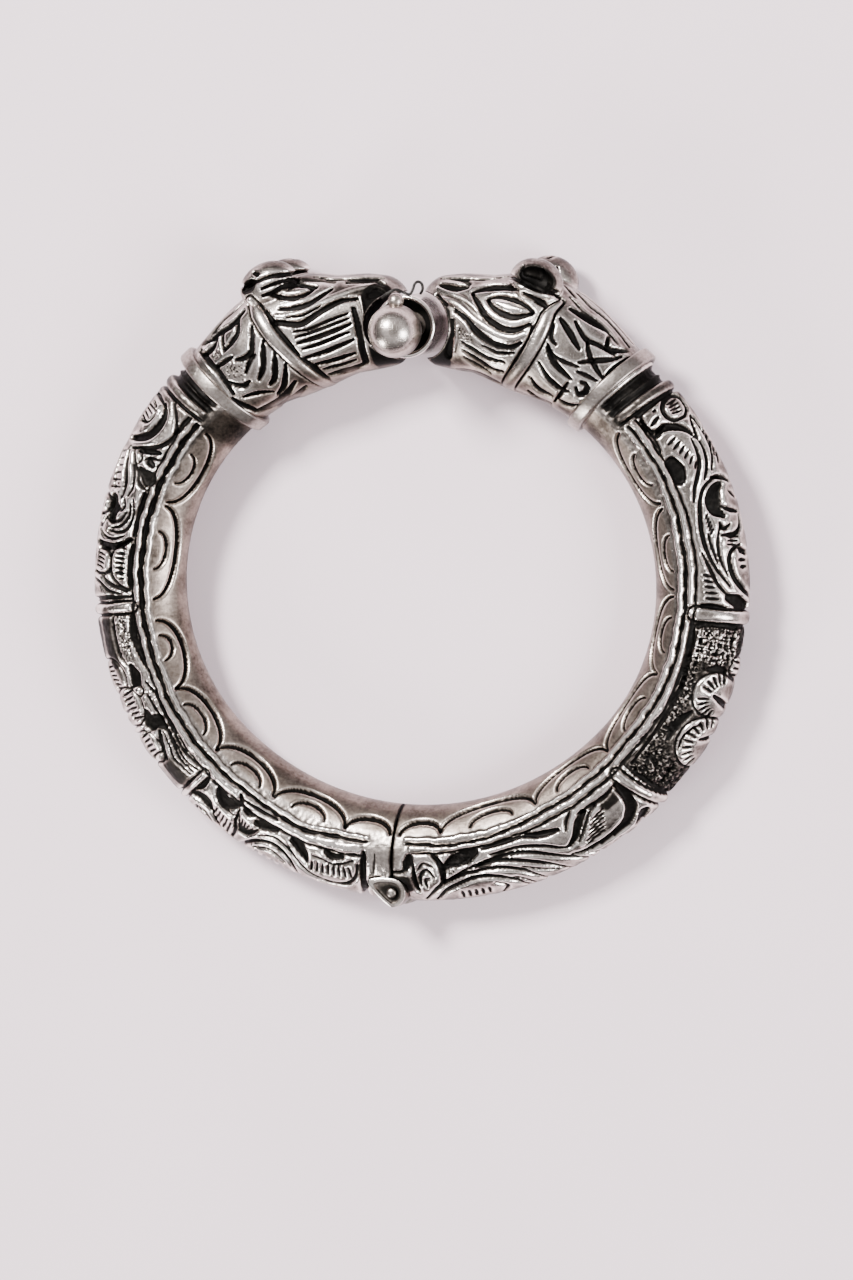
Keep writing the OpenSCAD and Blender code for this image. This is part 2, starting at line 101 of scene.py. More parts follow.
class Section:
    """The band's outline, read by its length v from the outer middle line."""

    def __init__(self, samples=4001):
        turn = np.linspace(-math.pi, math.pi, samples)
        self.out = BAND_OUT * signed_power(np.cos(turn), BAND_POWER)
        self.up = BAND_UP * signed_power(np.sin(turn), BAND_POWER)
        run = np.concatenate(([0], np.cumsum(np.hypot(np.diff(self.out), np.diff(self.up)))))
        self.half = run[-1] / 2
        self.v = run - self.half
        along = np.gradient(self.out), np.gradient(self.up)
        length = np.hypot(*along)
        self.n_out, self.n_up = along[1] / length, -along[0] / length

    def point(self, v, height):
        """Place outwards and upwards at a height above the outline."""
        read = [np.interp(v, self.v, a) for a in (self.out, self.up, self.n_out, self.n_up)]
        return read[0] + height * read[2], read[1] + height * read[3]


SECTION = Section()

# Sheets of relief
SHEET_STEP, LINE_STEP = 0.05, 0.3
# Width of a carved wall, and depth of engraved lines, ticks and fans
EDGE = 0.1
LINE_DEEP, TICK_DEEP, FAN_DEEP = 0.6, 0.45, 0.5
# Shine of flat silver, and what close and wide hollows, depth, crests (rubbed bright, with a painted
# highlight) and painted glints do to it
SHINE_FLAT, SHINE_CLOSE, SHINE_WIDE = 0.65, 3.0, 2.4
SHINE_DEPTH, SHINE_CREST, SHINE_GLINT = 0.9, 2.2, 0.4
# Wear of the edges and its reach, and cast dents, their reach and the v past which they fade
WEAR, WEAR_REACH = 0.6, 0.14
DENT, DENT_REACH, DENTS_UP_TO = 0.014, 0.16, 10.4


def ramp(x):
    """0 below 0, 1 above 1, and a smooth step between them."""
    x = np.clip(x, 0, 1)
    return x * x * (3 - 2 * x)


def soften(sheet, reach):
    """A blur made of three running means."""
    n = max(1, int(round(reach / SHEET_STEP)))
    for axis in (0, 1) * 3:
        pad = [(0, 0), (0, 0)]
        pad[axis] = (n + 1, n)
        run = np.cumsum(np.pad(sheet, pad, mode="edge"), axis=axis, dtype=np.float64)
        cut = [slice(None), slice(None)]
        low = list(cut)
        cut[axis], low[axis] = slice(2 * n + 1, None), slice(0, -2 * n - 1)
        sheet = (run[tuple(cut)] - run[tuple(low)]) / (2 * n + 1)
    return sheet


def smooth_line(points):
    """A curve through the points, with a sample about every step."""
    p = np.asarray(points, float)
    if len(p) < 3:
        count = max(2, int(np.hypot(*(p[1] - p[0])) / LINE_STEP) + 1)
        return p[0] + np.linspace(0, 1, count)[:, None] * (p[1] - p[0])
    q = np.vstack((2 * p[0] - p[1], p, 2 * p[-1] - p[-2]))
    line = []
    for a, b, c, d in zip(q, q[1:], q[2:], q[3:]):
        count = max(2, int(np.hypot(*(c - b)) / LINE_STEP) + 1)
        t = np.linspace(0, 1, count, endpoint=False)[:, None]
        line.append(0.5 * (2 * b + (c - a) * t + (2 * a - 5 * b + 4 * c - d) * t ** 2
                           + (3 * b - a - 3 * c + d) * t ** 3))
    return np.vstack(line + [p[-1:]])


class Sheet:
    """Relief drawn flat: a height at each step along and across, in millimetres."""

    def __init__(self, place, low, high, ground):
        self.place, self.ground = place, ground
        self.low = np.asarray(low, float)
        count = ((np.asarray(high) - self.low) / SHEET_STEP).astype(int) + 1
        self.height = np.zeros((count[1], count[0]))
        # Soot and tarnish, and the painted shade beside the rings, that the shine loses
        self.soot_and_shade = np.zeros_like(self.height)

    def window(self, low, high):
        """The part of the sheet between two corners, and the places in it."""
        i0, j0 = np.maximum(((low - self.low) / SHEET_STEP).astype(int), 0)
        i1, j1 = ((high - self.low) / SHEET_STEP).astype(int) + 2
        cut = (slice(j0, min(j1, self.height.shape[0])), slice(i0, min(i1, self.height.shape[1])))
        along = self.low[0] + SHEET_STEP * np.arange(cut[1].start, cut[1].stop)
        across = self.low[1] + SHEET_STEP * np.arange(cut[0].start, cut[0].stop)
        return cut, *np.meshgrid(along, across)

    def near(self, points, reach):
        """The window round a line: how far along it, and how far from it, each point lies."""
        line = smooth_line(self.place(points))
        cut, along, across = self.window(line.min(0) - reach, line.max(0) + reach)
        best = np.full(along.shape, 1e9)
        share = np.zeros(along.shape)
        lengths = np.hypot(*np.diff(line, axis=0).T)
        run = 0.0
        for p, q, length in zip(line, line[1:], lengths):
            if length < 1e-6:
                continue
            way = (q - p) / length
            t = np.clip((along - p[0]) * way[0] + (across - p[1]) * way[1], 0, length)
            gap = (along - p[0] - t * way[0]) ** 2 + (across - p[1] - t * way[1]) ** 2
            closer = gap < best
            best[closer] = gap[closer]
            share[closer] = run + t[closer]
            run += length
        return cut, share / max(run, 1e-6), np.sqrt(best)

    def strip(self, points, half, room):
        """The window round a strip: its half width beside each point, and how far off it lies."""
        cut, share, off = self.near(points, max(half) + room)
        return cut, np.interp(share, np.linspace(0, 1, len(half)), half), off

    def fill(self, cut, mask, level):
        self.height[cut] += mask * (level - self.height[cut])

    def level(self, start, end, low, high, height):
        """One height from psi to psi, and between two places across."""
        cut, _, _ = self.window(np.array((span(start), low)), np.array((span(end), high)))
        self.height[cut] = height

    def ribbon(self, points, half, top=0.0, crown=0.22, gap=0.24):
        """A raised leaf or stem with a dark gap cut round it. half lists its half widths."""
        cut, width, off = self.strip(points, half, gap + 0.2)
        self.fill(cut, ramp((width + gap - off) / EDGE), np.minimum(self.height[cut], self.ground))
        crest = top - crown * np.minimum(off / np.maximum(width, 1e-3), 1) ** 2
        self.fill(cut, ramp((width - off) / EDGE), crest)

    def hollow(self, points, half):
        """A place dug down to the ground."""
        cut, width, off = self.strip(points, half, 0.3)
        self.fill(cut, ramp((width - off) / EDGE), np.minimum(self.height[cut], self.ground))

    def ridge(self, points, half, rise):
        """A rounded ridge laid on what is there."""
        cut, width, off = self.strip(points, half, 0.3)
        self.height[cut] += rise * np.sqrt(np.clip(1 - (off / np.maximum(width, 1e-3)) ** 2, 0, 1))

    def engrave(self, points, wide, deep):
        """An engraved line, a little thinner at its ends."""
        cut, share, off = self.near(points, wide + 0.2)
        half = wide / 2 * (0.45 + 0.55 * np.sin(math.pi * share)) + 0.04
        self.height[cut] -= deep * ramp((half - off) / 0.12 + 0.5)

    def ticks(self, first, last, wide, count):
        """Short engraved lines, from the first to the last one given."""
        first, last = np.array(first, float), np.array(last, float)
        for share in np.linspace(0, 1, count):
            line = first + share * (last - first)
            self.engrave([line[:2], line[2:]], wide, TICK_DEEP)

    def fan(self, centre, reach, turn, wide, count):
        """Short engraved lines that spread from a centre, at the reach and turns given."""
        unit = np.diff(self.place([centre, (centre[0] + 1, centre[1])])[:, 0])[0]
        for angle in np.radians(np.linspace(*turn, count)):
            way = np.array((math.cos(angle) / unit, math.sin(angle)))
            self.engrave([np.array(centre) + r * way for r in reach], wide, FAN_DEEP)

    def pits(self, points, half, count, size, deep=0.35):
        """Punched pits strewn along a line."""
        rng = np.random.default_rng(int(count + 100 * half))
        line = smooth_line(self.place(points))
        for _ in range(int(count)):
            at = line[rng.integers(len(line))] + rng.uniform(-1, 1, 2) * half
            r = size * rng.uniform(0.7, 1.4)
            cut, along, across = self.window(at - r, at + r)
            if along.size:
                off = np.hypot(along - at[0], across - at[1])
                self.height[cut] -= deep * ramp((r - off) / (0.6 * r))

    def stain(self, points, half, amount=0.5):
        """Tarnish left on a worn face."""
        cut, width, off = self.strip(points, half, 0.4)
        self.soot_and_shade[cut] = np.maximum(self.soot_and_shade[cut], amount * ramp((width - off) / 0.4 + 0.3))

    def carve(self, rows):
        """Works through a table of tool, sizes and places."""
        for tool, sizes, places in rows:
            if tool == "dig":
                self.hollow(places, [half + 0.07 for half in sizes])
            elif tool == "line":
                self.engrave(places, 1.2 * sizes + 0.06, LINE_DEEP)
            elif tool == "stem":
                self.ribbon(places, sizes)
            elif tool == "rim":
                self.ridge(places, sizes, 0.16)
            elif tool == "ticks":
                self.ticks(*places, *sizes)
            elif tool == "fan":
                self.fan(*places, *sizes)
            elif tool == "pits":
                self.pits(places, *sizes)
            elif tool == "stain":
                self.stain(places, sizes)

    def read(self, along, across, values=None):
        """Heights, or other values of the sheet, between its steps."""
        values = self.height if values is None else values
        i = np.clip((along - self.low[0]) / SHEET_STEP, 0, values.shape[1] - 1.001)
        j = np.clip((across - self.low[1]) / SHEET_STEP, 0, values.shape[0] - 1.001)
        i0, j0 = i.astype(int), j.astype(int)
        fi, fj = i - i0, j - j0
        return ((values[j0, i0] * (1 - fi) + values[j0, i0 + 1] * fi) * (1 - fj)
                + (values[j0 + 1, i0] * (1 - fi) + values[j0 + 1, i0 + 1] * fi) * fj)

    def shine(self):
        """1 where a finger would rub the silver bright, 0 down in the black. Crests also get a painted
        highlight, painted glints fleck the black, and soot, tarnish and painted shade are taken off.
        """
        close = soften(self.height, 0.1) - self.height
        wide = soften(self.height, 0.3) - self.height
        deep = ramp((-0.16 - self.height) / 0.34)
        glint = soften(np.random.default_rng(5).normal(size=close.shape), 0.1)
        bright = (SHINE_FLAT - SHINE_CLOSE * np.clip(close, 0, 1) - SHINE_WIDE * np.clip(wide, 0, 1)
                  - SHINE_DEPTH * deep + SHINE_CREST * np.clip(-wide, 0, 0.2)
                  + SHINE_GLINT * deep * np.clip(glint / glint.std() - 1.1, 0, 1))
        return np.clip(bright - self.soot_and_shade, 0, 1)

    def rounded(self):
        """The heights with their edges worn round and small cast dents."""
        rng = np.random.default_rng(7)
        rough = soften(rng.normal(size=self.height.shape), DENT_REACH)
        worn = self.height + WEAR * (soften(self.height, WEAR_REACH) - self.height)
        rows = self.low[1] + SHEET_STEP * np.arange(self.height.shape[0])
        dents = DENT * (1 - 0.85 * ramp((rows - DENTS_UP_TO) / 0.5))[:, None]
        return worn + dents * rough / rough.std()


# The bands' relief
BAND_GROUND = -0.75
BAND_LOW = -0.6


def band_place(points):
    p = np.asarray(points, float)
    return np.column_stack((span(p[:, 0]), p[:, 1]))


# The tables below give a tool, its sizes in millimetres and the places (psi, v) it works along.
# dig sinks to the ground with the half widths given, line engraves at a width, stem lays a leaf
# or stem with a dark gap round it, rim raises an edge, ticks and fan cut short lines at a
# width and number (fan: centre, reach, turns), pits punches at a half width, number and size,
# stain leaves tarnish.
LEFT_UPPER = (
    ("dig", (0.25, 0.55, 0.62, 0.6, 0.5, 0.3), ((139.9, 4.3), (141.5, 5.3), (144, 5.6),
                                                (147, 5.0), (148.8, 3.6), (149.8, 2.2))),
    ("line", 0.34, ((140.2, 0.4), (139.9, 2.4), (140.1, 4.4))),
    ("line", 0.42, ((138.1, 5.5), (140, 7.0), (142.4, 8.1), (144.4, 8.3), (147, 7.6),
                    (149, 6.3), (150.7, 4.3), (151.4, 3.3))),
    ("line", 0.3, ((137.9, 8.35), (141, 8.3), (144, 8.5))),
    ("rim", (0.2, 0.3, 0.3, 0.2), ((141.0, 3.6), (142.2, 4.4), (144.8, 4.4), (146.4, 3.4))),
    ("line", 0.2, ((141.3, 2.2), (142.0, 3.6), (143.6, 4.0), (145.2, 3.5), (146.0, 2.0))),
    ("ticks", (0.24, 4), ((142.5, 1.4, 142.3, 3.4), (145.1, 1.4, 145.5, 3.2))),
    ("dig", (0.35, 0.42, 0.2), ((150.7, 5.0), (149.7, 6.5), (148.7, 8.0))),
    ("dig", (0.45, 1.2), ((154.3, 6.4), (155.2, 8.0))),
    ("line", 0.3, ((151.3, 4.0), (153.2, 5.0), (155.3, 6.1), (157.2, 7.2), (157.9, 8.4))),
    ("dig", (0.42, 0.42), ((151.8, 7.1), (152.0, 7.7))),
    ("line", 0.26, ((151.0, 5.4), (152.2, 5.9), (153.4, 5.6))),
    ("line", 0.26, ((150.2, 8.4), (150.8, 7.1), (151.8, 6.4))),
    ("line", 0.4, ((152.2, 3.1), (155, 3.9), (157.3, 4.8), (160, 5.2), (161.8, 5.0))),
    ("line", 0.26, ((154.2, 5.0), (156.4, 5.9), (158.6, 6.3), (160.8, 6.0))),
    ("ticks", (0.2, 6), ((153.6, 1.0, 152.6, 2.4), (160.4, 2.4, 159.6, 4.4))),
    ("line", 0.2, ((151.8, 0.6), (156, 1.6), (160.4, 3.2))),
    ("rim", (0.2, 0.35, 0.3, 0.2), ((153.6, 3.2), (157, 4.2), (160, 4.8), (161.4, 3.6))),
    ("rim", (0.3, 0.6, 0.4), ((157.0, 6.8), (158.6, 7.3), (160.6, 7.5))),
    ("dig", (0.9, 1.2, 0.9), ((162.6, 3.7), (164.2, 4.0), (165.8, 4.1))),
    ("line", 0.34, ((161.9, 0.0), (162.0, 1.6), (163.2, 3.0), (165.6, 2.6), (166.4, 1.0))),
    ("rim", (0.3, 0.4, 0.3), ((162.8, 1.4), (164.2, 2.3), (165.6, 1.4))),
    ("line", 0.26, ((161.4, 5.6), (163, 6.0), (164.2, 5.5), (163.2, 5.0))),
    ("line", 0.28, ((164.2, 6.5), (166.2, 5.8), (167.2, 4.4), (166.8, 3.2))),
    ("line", 0.34, ((162.2, 6.8), (165, 6.95), (167.3, 6.1), (168.3, 4.6))),
    ("line", 0.32, ((160.9, 7.0), (164.4, 7.6), (167.8, 7.1), (168.9, 5.6), (168.9, 4.2))),
    ("dig", (0.2, 0.32, 0.2), ((158.6, 8.3), (163.5, 8.3), (168.8, 8.25))),
    ("dig", (0.3, 0.52, 0.42, 0.3), ((171.8, 1.8), (172.2, 4.4), (171.3, 6.7), (169.8, 8.0))),
    ("line", 0.3, ((168.0, 0.2), (168.4, 2.2), (166.4, 3.0))),
    ("line", 0.2, ((169.2, 2.2), (170.4, 3.6), (170.4, 5.4), (169.2, 7.0))),
    ("line", 0.34, ((172.9, 2.6), (173.2, 4.5), (175.1, 5.1), (177.4, 4.8), (178.0, 3.2),
                    (177.6, 1.6))),
    ("ticks", (0.26, 4), ((173.8, 2.6, 174.2, 4.1), (176.3, 2.4, 176.9, 3.9))),
    ("line", 0.36, ((170.0, 7.7), (171.5, 6.2), (173, 5.5), (175.2, 5.1), (177.8, 5.4),
                    (179.8, 6.4), (181.4, 8.2))),
    ("ticks", (0.3, 7), ((171.9, 6.7, 172.1, 7.5), (179.0, 6.8, 178.6, 7.5))),
    ("ticks", (0.28, 5), ((173.3, 6.0, 173.4, 7.2), (177.6, 6.1, 177.3, 7.2))),
    ("dig", (0.2, 0.42, 0.3), ((170.9, 8.35), (175.2, 8.15), (180.8, 8.35))),
    ("line", 0.34, ((178.2, 3.4), (179.7, 4.8), (181.6, 7.8))),
    ("line", 0.3, ((179.0, 0.6), (179.8, 3.0), (181.4, 4.8), (182.2, 7.0))),
    ("line", 0.3, ((171.6, 0.2), (174.5, 1.4), (178, 0.6))),
    ("line", 0.3, ((146.8, 0.4), (149.6, 1.0), (152, 0.2))),
    ("line", 0.4, ((183.3, -0.4), (182.9, 4), (182.8, 8.4))),
)
LEFT_FLOWER = (
    ("stain", (1.2, 1.2, 1.2), ((187, 4.0), (191, 3.9), (196, 3.9))),
    ("pits", (0.9, 150, 0.13), ((187.6, 6.3), (191, 6.4), (195.6, 6.3))),
    ("line", 0.34, ((187, 5.2), (190, 5.0), (195, 5.1), (197.4, 5.7))),
    ("stain", (1.5, 1.4, 1.2), ((187.4, 0.6), (190, 1.0), (194.6, 0.4))),
    ("dig", (0.3, 0.55, 0.5, 0.2), ((187, 8.2), (191, 7.9), (196, 8.3), (199.4, 8.5))),
    ("dig", (0.5, 0.9, 0.9), ((198.4, 6.3), (200.2, 6.4), (201.6, 6.2))),
    ("dig", (0.6, 1.2, 1.0, 0.3), ((208.8, 5.6), (210.6, 5.4), (211.6, 6.5), (213.6, 7.0))),
    ("dig", (0.3, 0.5, 0.3), ((213.6, 5.9), (216.2, 4.9), (218.6, 4.2))),
    ("stain", (1.1, 1.3, 1.2), ((219, 3.9), (222, 3.9), (225, 4.2))),
    ("stain", (0.9, 0.9), ((218.6, 0.4), (224.6, 0.6))),
    ("line", 0.3, ((202.6, 7.7), (206, 8.3), (210, 8.2), (215, 7.8), (220, 7.3), (225.4, 7.5))),
    ("line", 0.26, ((205, 7.1), (209, 7.3), (213, 7.3), (217, 6.7), (221, 6.0), (225, 6.2))),
    ("line", 0.24, ((214, 6.5), (217.4, 5.9), (220, 5.3), (225, 5.6))),
    ("line", 0.2, ((215, 7.2), (219, 6.8), (222, 6.5), (225.2, 6.9))),
    ("pits", (0.5, 60, 0.12), ((205, 7.6), (212, 7.8), (220, 6.6), (225, 7.0))),
    ("stem", (2.1, 2.3, 2.8), ((199.2, -1.6), (199.2, 0.4), (199.6, 2.0))),
    ("ticks", (0.18, 6), ((196.8, 1.6, 196.9, 3.0), (201.2, 2.4, 202.0, 3.6))),
    ("stem", (0.6, 0.7), ((203.4, 5.0), (203.7, 6.1))),
    ("stem", (1.8, 2.3, 2.6), ((206.6, -1.4), (206.2, 1.0), (205.8, 3.1))),
    ("ticks", (0.3, 6), ((203.2, 3.0, 203.0, 4.8), (208.2, 3.0, 208.8, 4.6))),
    ("line", 0.22, ((206.6, -0.2), (206.2, 2.8))),
    ("stem", (0.4, 0.55, 0.3), ((210.3, -0.4), (210.4, 1.6), (210.6, 3.4))),
    ("stem", (1.7, 2.0, 2.2), ((214.0, -1.4), (214.2, 0.6), (214.6, 2.5))),
    ("ticks", (0.3, 5), ((212.2, 2.4, 212.2, 3.9), (216.4, 2.0, 217.0, 3.4))),
    ("stem", (0.5, 0.6), ((217.4, 2.4), (217.7, 3.4))),
)
LEFT_LOWER = (
    ("dig", (0.4, 0.8, 0.75, 0.25), ((227.4, 3.4), (228.8, 4.1), (230.2, 4.1), (231.5, 3.4))),
    ("line", 0.4, ((227.4, 4.6), (228.0, 5.8), (228.1, 7.2))),
    ("line", 0.28, ((228.6, 0.4), (228.8, 1.8), (230.6, 2.2), (232.2, 1.0))),
    ("line", 0.34, ((231.6, 3.2), (233.2, 2.0), (234.2, 0.2))),
    ("ticks", (0.26, 5), ((231.9, 3.2, 232.2, 4.7), (235.2, 1.6, 235.4, 4.0))),
    ("line", 0.34, ((230.2, 7.2), (231.6, 5.7), (234.0, 5.2), (235.6, 5.3))),
    ("dig", (0.4, 0.8, 0.85, 0.4), ((231.0, 6.9), (232.6, 6.3), (234.0, 6.4), (235.2, 6.9))),
    ("line", 0.34, ((235.8, 6.6), (235.9, 4.8), (236.5, 3.2), (236.2, 1.2))),
    ("ticks", (0.28, 5), ((237.1, 3.6, 236.3, 5.9), (238.2, 3.6, 239.4, 5.3))),
    ("dig", (0.22, 0.4, 0.22), ((236.4, 7.0), (237.4, 6.85), (238.6, 7.0))),
    ("dig", (0.5, 0.75, 0.6, 0.25), ((239.6, 6.2), (240.8, 6.4), (242.2, 6.7), (243.6, 6.9))),
    ("line", 0.3, ((238.6, 3.6), (239.8, 4.9), (240.4, 5.6))),
    ("line", 0.46, ((237.6, -0.6), (238.6, 1.5), (240.4, 3.5), (242.8, 4.5), (245, 4.5),
                    (247, 3.5), (248.1, 2.0), (248.6, 0.2))),
    ("ticks", (0.34, 4), ((240.6, 0.0, 241.1, 1.8), (245.2, -0.2, 245.6, 1.6))),
    ("line", 0.2, ((240.6, 2.4), (243.6, 3.5), (246.4, 2.6))),
    ("line", 0.2, ((241, 4.9), (243.4, 5.7), (245.6, 5.4), (247.2, 4.6))),
    ("dig", (0.55, 0.8, 0.7, 0.25), ((247.0, 6.5), (248.2, 6.1), (249.4, 5.3), (250.2, 4.2))),
    ("line", 0.36, ((246.4, 5.6), (248.3, 4.1), (250, 2.9), (252, 2.15), (255, 2.0),
                    (257.5, 2.6), (259.1, 4.2), (259.4, 6.2))),
    ("ticks", (0.34, 8), ((251.2, 3.3, 251.2, 4.8), (258.4, 3.9, 257.9, 5.4))),
    ("dig", (0.35, 0.55, 0.4), ((253.3, 6.7), (254.7, 6.3), (256.3, 6.6))),
    ("line", 0.24, ((251.2, 5.6), (253.2, 5.5), (254.8, 5.2), (256.6, 5.7), (258.6, 6.6))),
    ("line", 0.3, ((249.8, 0.2), (253, 0.9), (257, 0.4))),
    ("dig", (0.32, 0.36, 0.32, 0.25), ((260.2, -0.4), (260.4, 2.8), (260.2, 6), (260.3, 8.0))),
    ("line", 0.4, ((236.0, 7.2), (235.2, 7.9), (234.5, 8.6))),
    ("line", 0.24, ((235, 8.15), (239, 8.2), (243, 8.3))),
    ("line", 0.26, ((261.0, 2.6), (261.9, 4.3), (263.6, 4.9))),
)
RIGHT_LOWER = (
    ("stain", (1.4, 1.4, 1.0), ((266.6, 4.3), (268.4, 4.2), (269.6, 4.6))),
    ("line", 0.3, ((265.9, 5.8), (267.6, 5.9), (268.6, 6.6))),
    ("dig", (0.4, 0.7, 0.5), ((268.2, 6.4), (268.8, 7.4), (269.0, 8.0))),
    ("dig", (0.25, 0.3, 0.3, 0.2), ((270.0, 3.0), (269.7, 4.8), (269.6, 6.4), (269.4, 7.6))),
    ("line", 0.3, ((270.7, 4.0), (270.9, 5.6), (272.2, 6.2), (273.2, 5.2))),
    ("line", 0.22, ((271.6, 3.6), (271.6, 4.8), (272.5, 5.0))),
    ("line", 0.26, ((270.4, 6.2), (271.6, 7.1), (273.4, 6.6))),
    ("dig", (0.22, 0.4, 0.4, 0.25), ((274.4, 3.9), (274.9, 5.4), (274.6, 7.2), (273.4, 8.3))),
    ("dig", (0.35, 0.9, 1.0, 0.5), ((275.4, 6.4), (277, 7.1), (279.4, 7.5), (281.6, 8.0))),
    ("rim", (0.15, 0.2, 0.15), ((275.6, 6.2), (277.4, 6.8), (278.6, 6.4))),
    ("rim", (0.12, 0.2, 0.12), ((276.0, 7.4), (277.6, 7.8), (279.6, 7.6))),
    ("pits", (0.8, 60, 0.13), ((275.4, 6.2), (280, 7.4))),
    ("line", 0.46, ((272.4, 0.6), (274.8, 2.9), (278, 4.0), (281, 4.4), (284, 3.9),
                    (286.6, 2.5), (288, 0.4))),
    ("line", 0.24, ((283.4, 0.2), (284.9, 1.8), (283.4, 3.1))),
    ("ticks", (0.34, 5), ((277.0, 1.0, 277.3, 2.5), (281.6, 1.3, 281.9, 2.4))),
    ("line", 0.4, ((270.8, 1.0), (273.4, 3.4), (277, 4.8), (281, 5.25), (285, 5.1),
                   (288.4, 3.9), (290.4, 1.9), (291.4, 0.0))),
    ("line", 0.26, ((286.8, 3.1), (288.3, 1.8), (289, 0.3))),
    ("line", 0.4, ((281, 6.0), (286, 5.95), (290, 4.8), (293.4, 2.9), (295.4, 0.4))),
    ("ticks", (0.3, 5), ((288.8, 4.3, 290.2, 3.6), (292.6, 2.3, 293.8, 1.5))),
    ("line", 0.36, ((275.2, 4.4), (279, 5.7), (284, 6.5), (288.5, 6.4), (292, 5.5),
                    (295.5, 3.6), (298.2, 1.4), (299, 0.0))),
    ("line", 0.34, ((284.2, 7.15), (289.5, 7.0), (293.8, 5.9), (296.6, 4.5), (298, 4.1))),
    ("line", 0.3, ((283, 8.2), (290, 8.25), (292, 7.9))),
    ("dig", (0.2, 0.45, 0.45, 0.2), ((291.6, 8.2), (293.8, 7.6), (296, 7.2), (297.8, 7.0))),
    ("dig", (0.15, 0.4, 0.5, 0.7, 0.85, 0.7, 0.35),
     ((297.4, 2.8), (300, 2.15), (304, 2.0), (307.6, 2.1), (310.2, 3.4), (311.2, 5.2),
      (311.2, 7.4))),
    ("dig", (0.6, 0.7), ((309.2, 0.4), (311.2, 1.6))),
    ("dig", (0.15, 0.45, 0.55, 0.4), ((297.6, 4.1), (299.8, 5.0), (301.6, 6.4), (303.4, 7.2))),
    ("line", 0.24, ((299.6, 4.0), (302, 5.4), (304.2, 6.7), (306, 7.1))),
    ("ticks", (0.26, 6), ((300.2, 3.1, 304.4, 3.5), (303.6, 5.7, 306.8, 6.1))),
    ("stain", (0.8, 0.9), ((307.4, 6.3), (310.0, 6.4))),
    ("line", 0.28, ((298.8, 6.3), (299.8, 7.4), (301.4, 8.3))),
    ("line", 0.34, ((302.4, 7.4), (305.4, 7.35), (308.4, 7.2), (310.8, 7.5))),
    ("dig", (0.5, 0.6), ((302.9, -0.2), (305.0, 0.1))),
    ("line", 0.3, ((299.4, 1.5), (300.8, 0.6), (301.2, -0.4))),
    ("rim", (0.2, 0.3, 0.2), ((299.6, 3.5), (303.5, 2.9), (307.6, 3.5))),
)
RIGHT_FLOWER = (
    ("pits", (2.6, 520, 0.15), ((317.6, 5.2), (319.8, 5.0))),
    ("pits", (1.5, 160, 0.15), ((317, 1.6), (320.6, 1.8))),
    ("pits", (1.0, 330, 0.15), ((323, 6.6), (330, 6.6), (338, 7.0), (344, 7.2))),
    ("pits", (2.4, 560, 0.14), ((346, 4.6), (349.6, 4.4))),
    ("pits", (1.2, 120, 0.14), ((346.6, 1.4), (351, 1.4))),
    ("line", 0.4, ((316.4, 7.9), (322, 8.1), (330, 7.9), (338, 7.7), (346, 7.9), (351.6, 8.0))),
    ("dig", (0.3, 0.6, 0.6, 0.3), ((326, 6.0), (328.6, 6.1), (330.6, 5.8), (333, 5.0))),
    ("dig", (0.3, 0.4, 0.3), ((342.8, 4.8), (343.4, 3.2), (343.0, 2.2))),
    ("dig", (0.3, 0.4, 0.4), ((351.9, 2.0), (351.8, 5), (351.6, 7.4))),
    ("dig", (0.3, 0.3), ((316.0, 1.0), (315.4, 6.6))),
    ("stem", (2.4, 3.0, 3.5), ((329.6, -1.6), (328.8, 0.2), (328.0, 1.5))),
    ("fan", (0.32, 10), ((328.2, 0.6), (2.3, 3.5), (14, 168))),
    ("line", 0.42, ((330.6, -0.8), (329.4, 0.8), (328.6, 2.1))),
    ("line", 0.2, ((325.0, 4.0), (327.4, 4.4), (329.8, 3.9), (331.6, 3.0))),
    ("stem", (2.1, 2.5, 2.9), ((337.0, -1.6), (337.6, 1.0), (338.0, 3.0))),
    ("line", 0.52, ((335.8, -0.6), (336.9, 1.2), (337.9, 3.0))),
    ("fan", (0.32, 5), ((337.9, 1.8), (1.8, 3.1), (10, 76))),
    ("fan", (0.32, 5), ((337.6, 2.0), (1.7, 3.0), (104, 168))),
    ("stem", (1.2, 1.3), ((343.4, -1.2), (344.2, 0.4))),
    ("ticks", (0.24, 3), ((342.6, 0.2, 342.8, 1.3), (345.2, 0.2, 345.4, 1.3))),
)
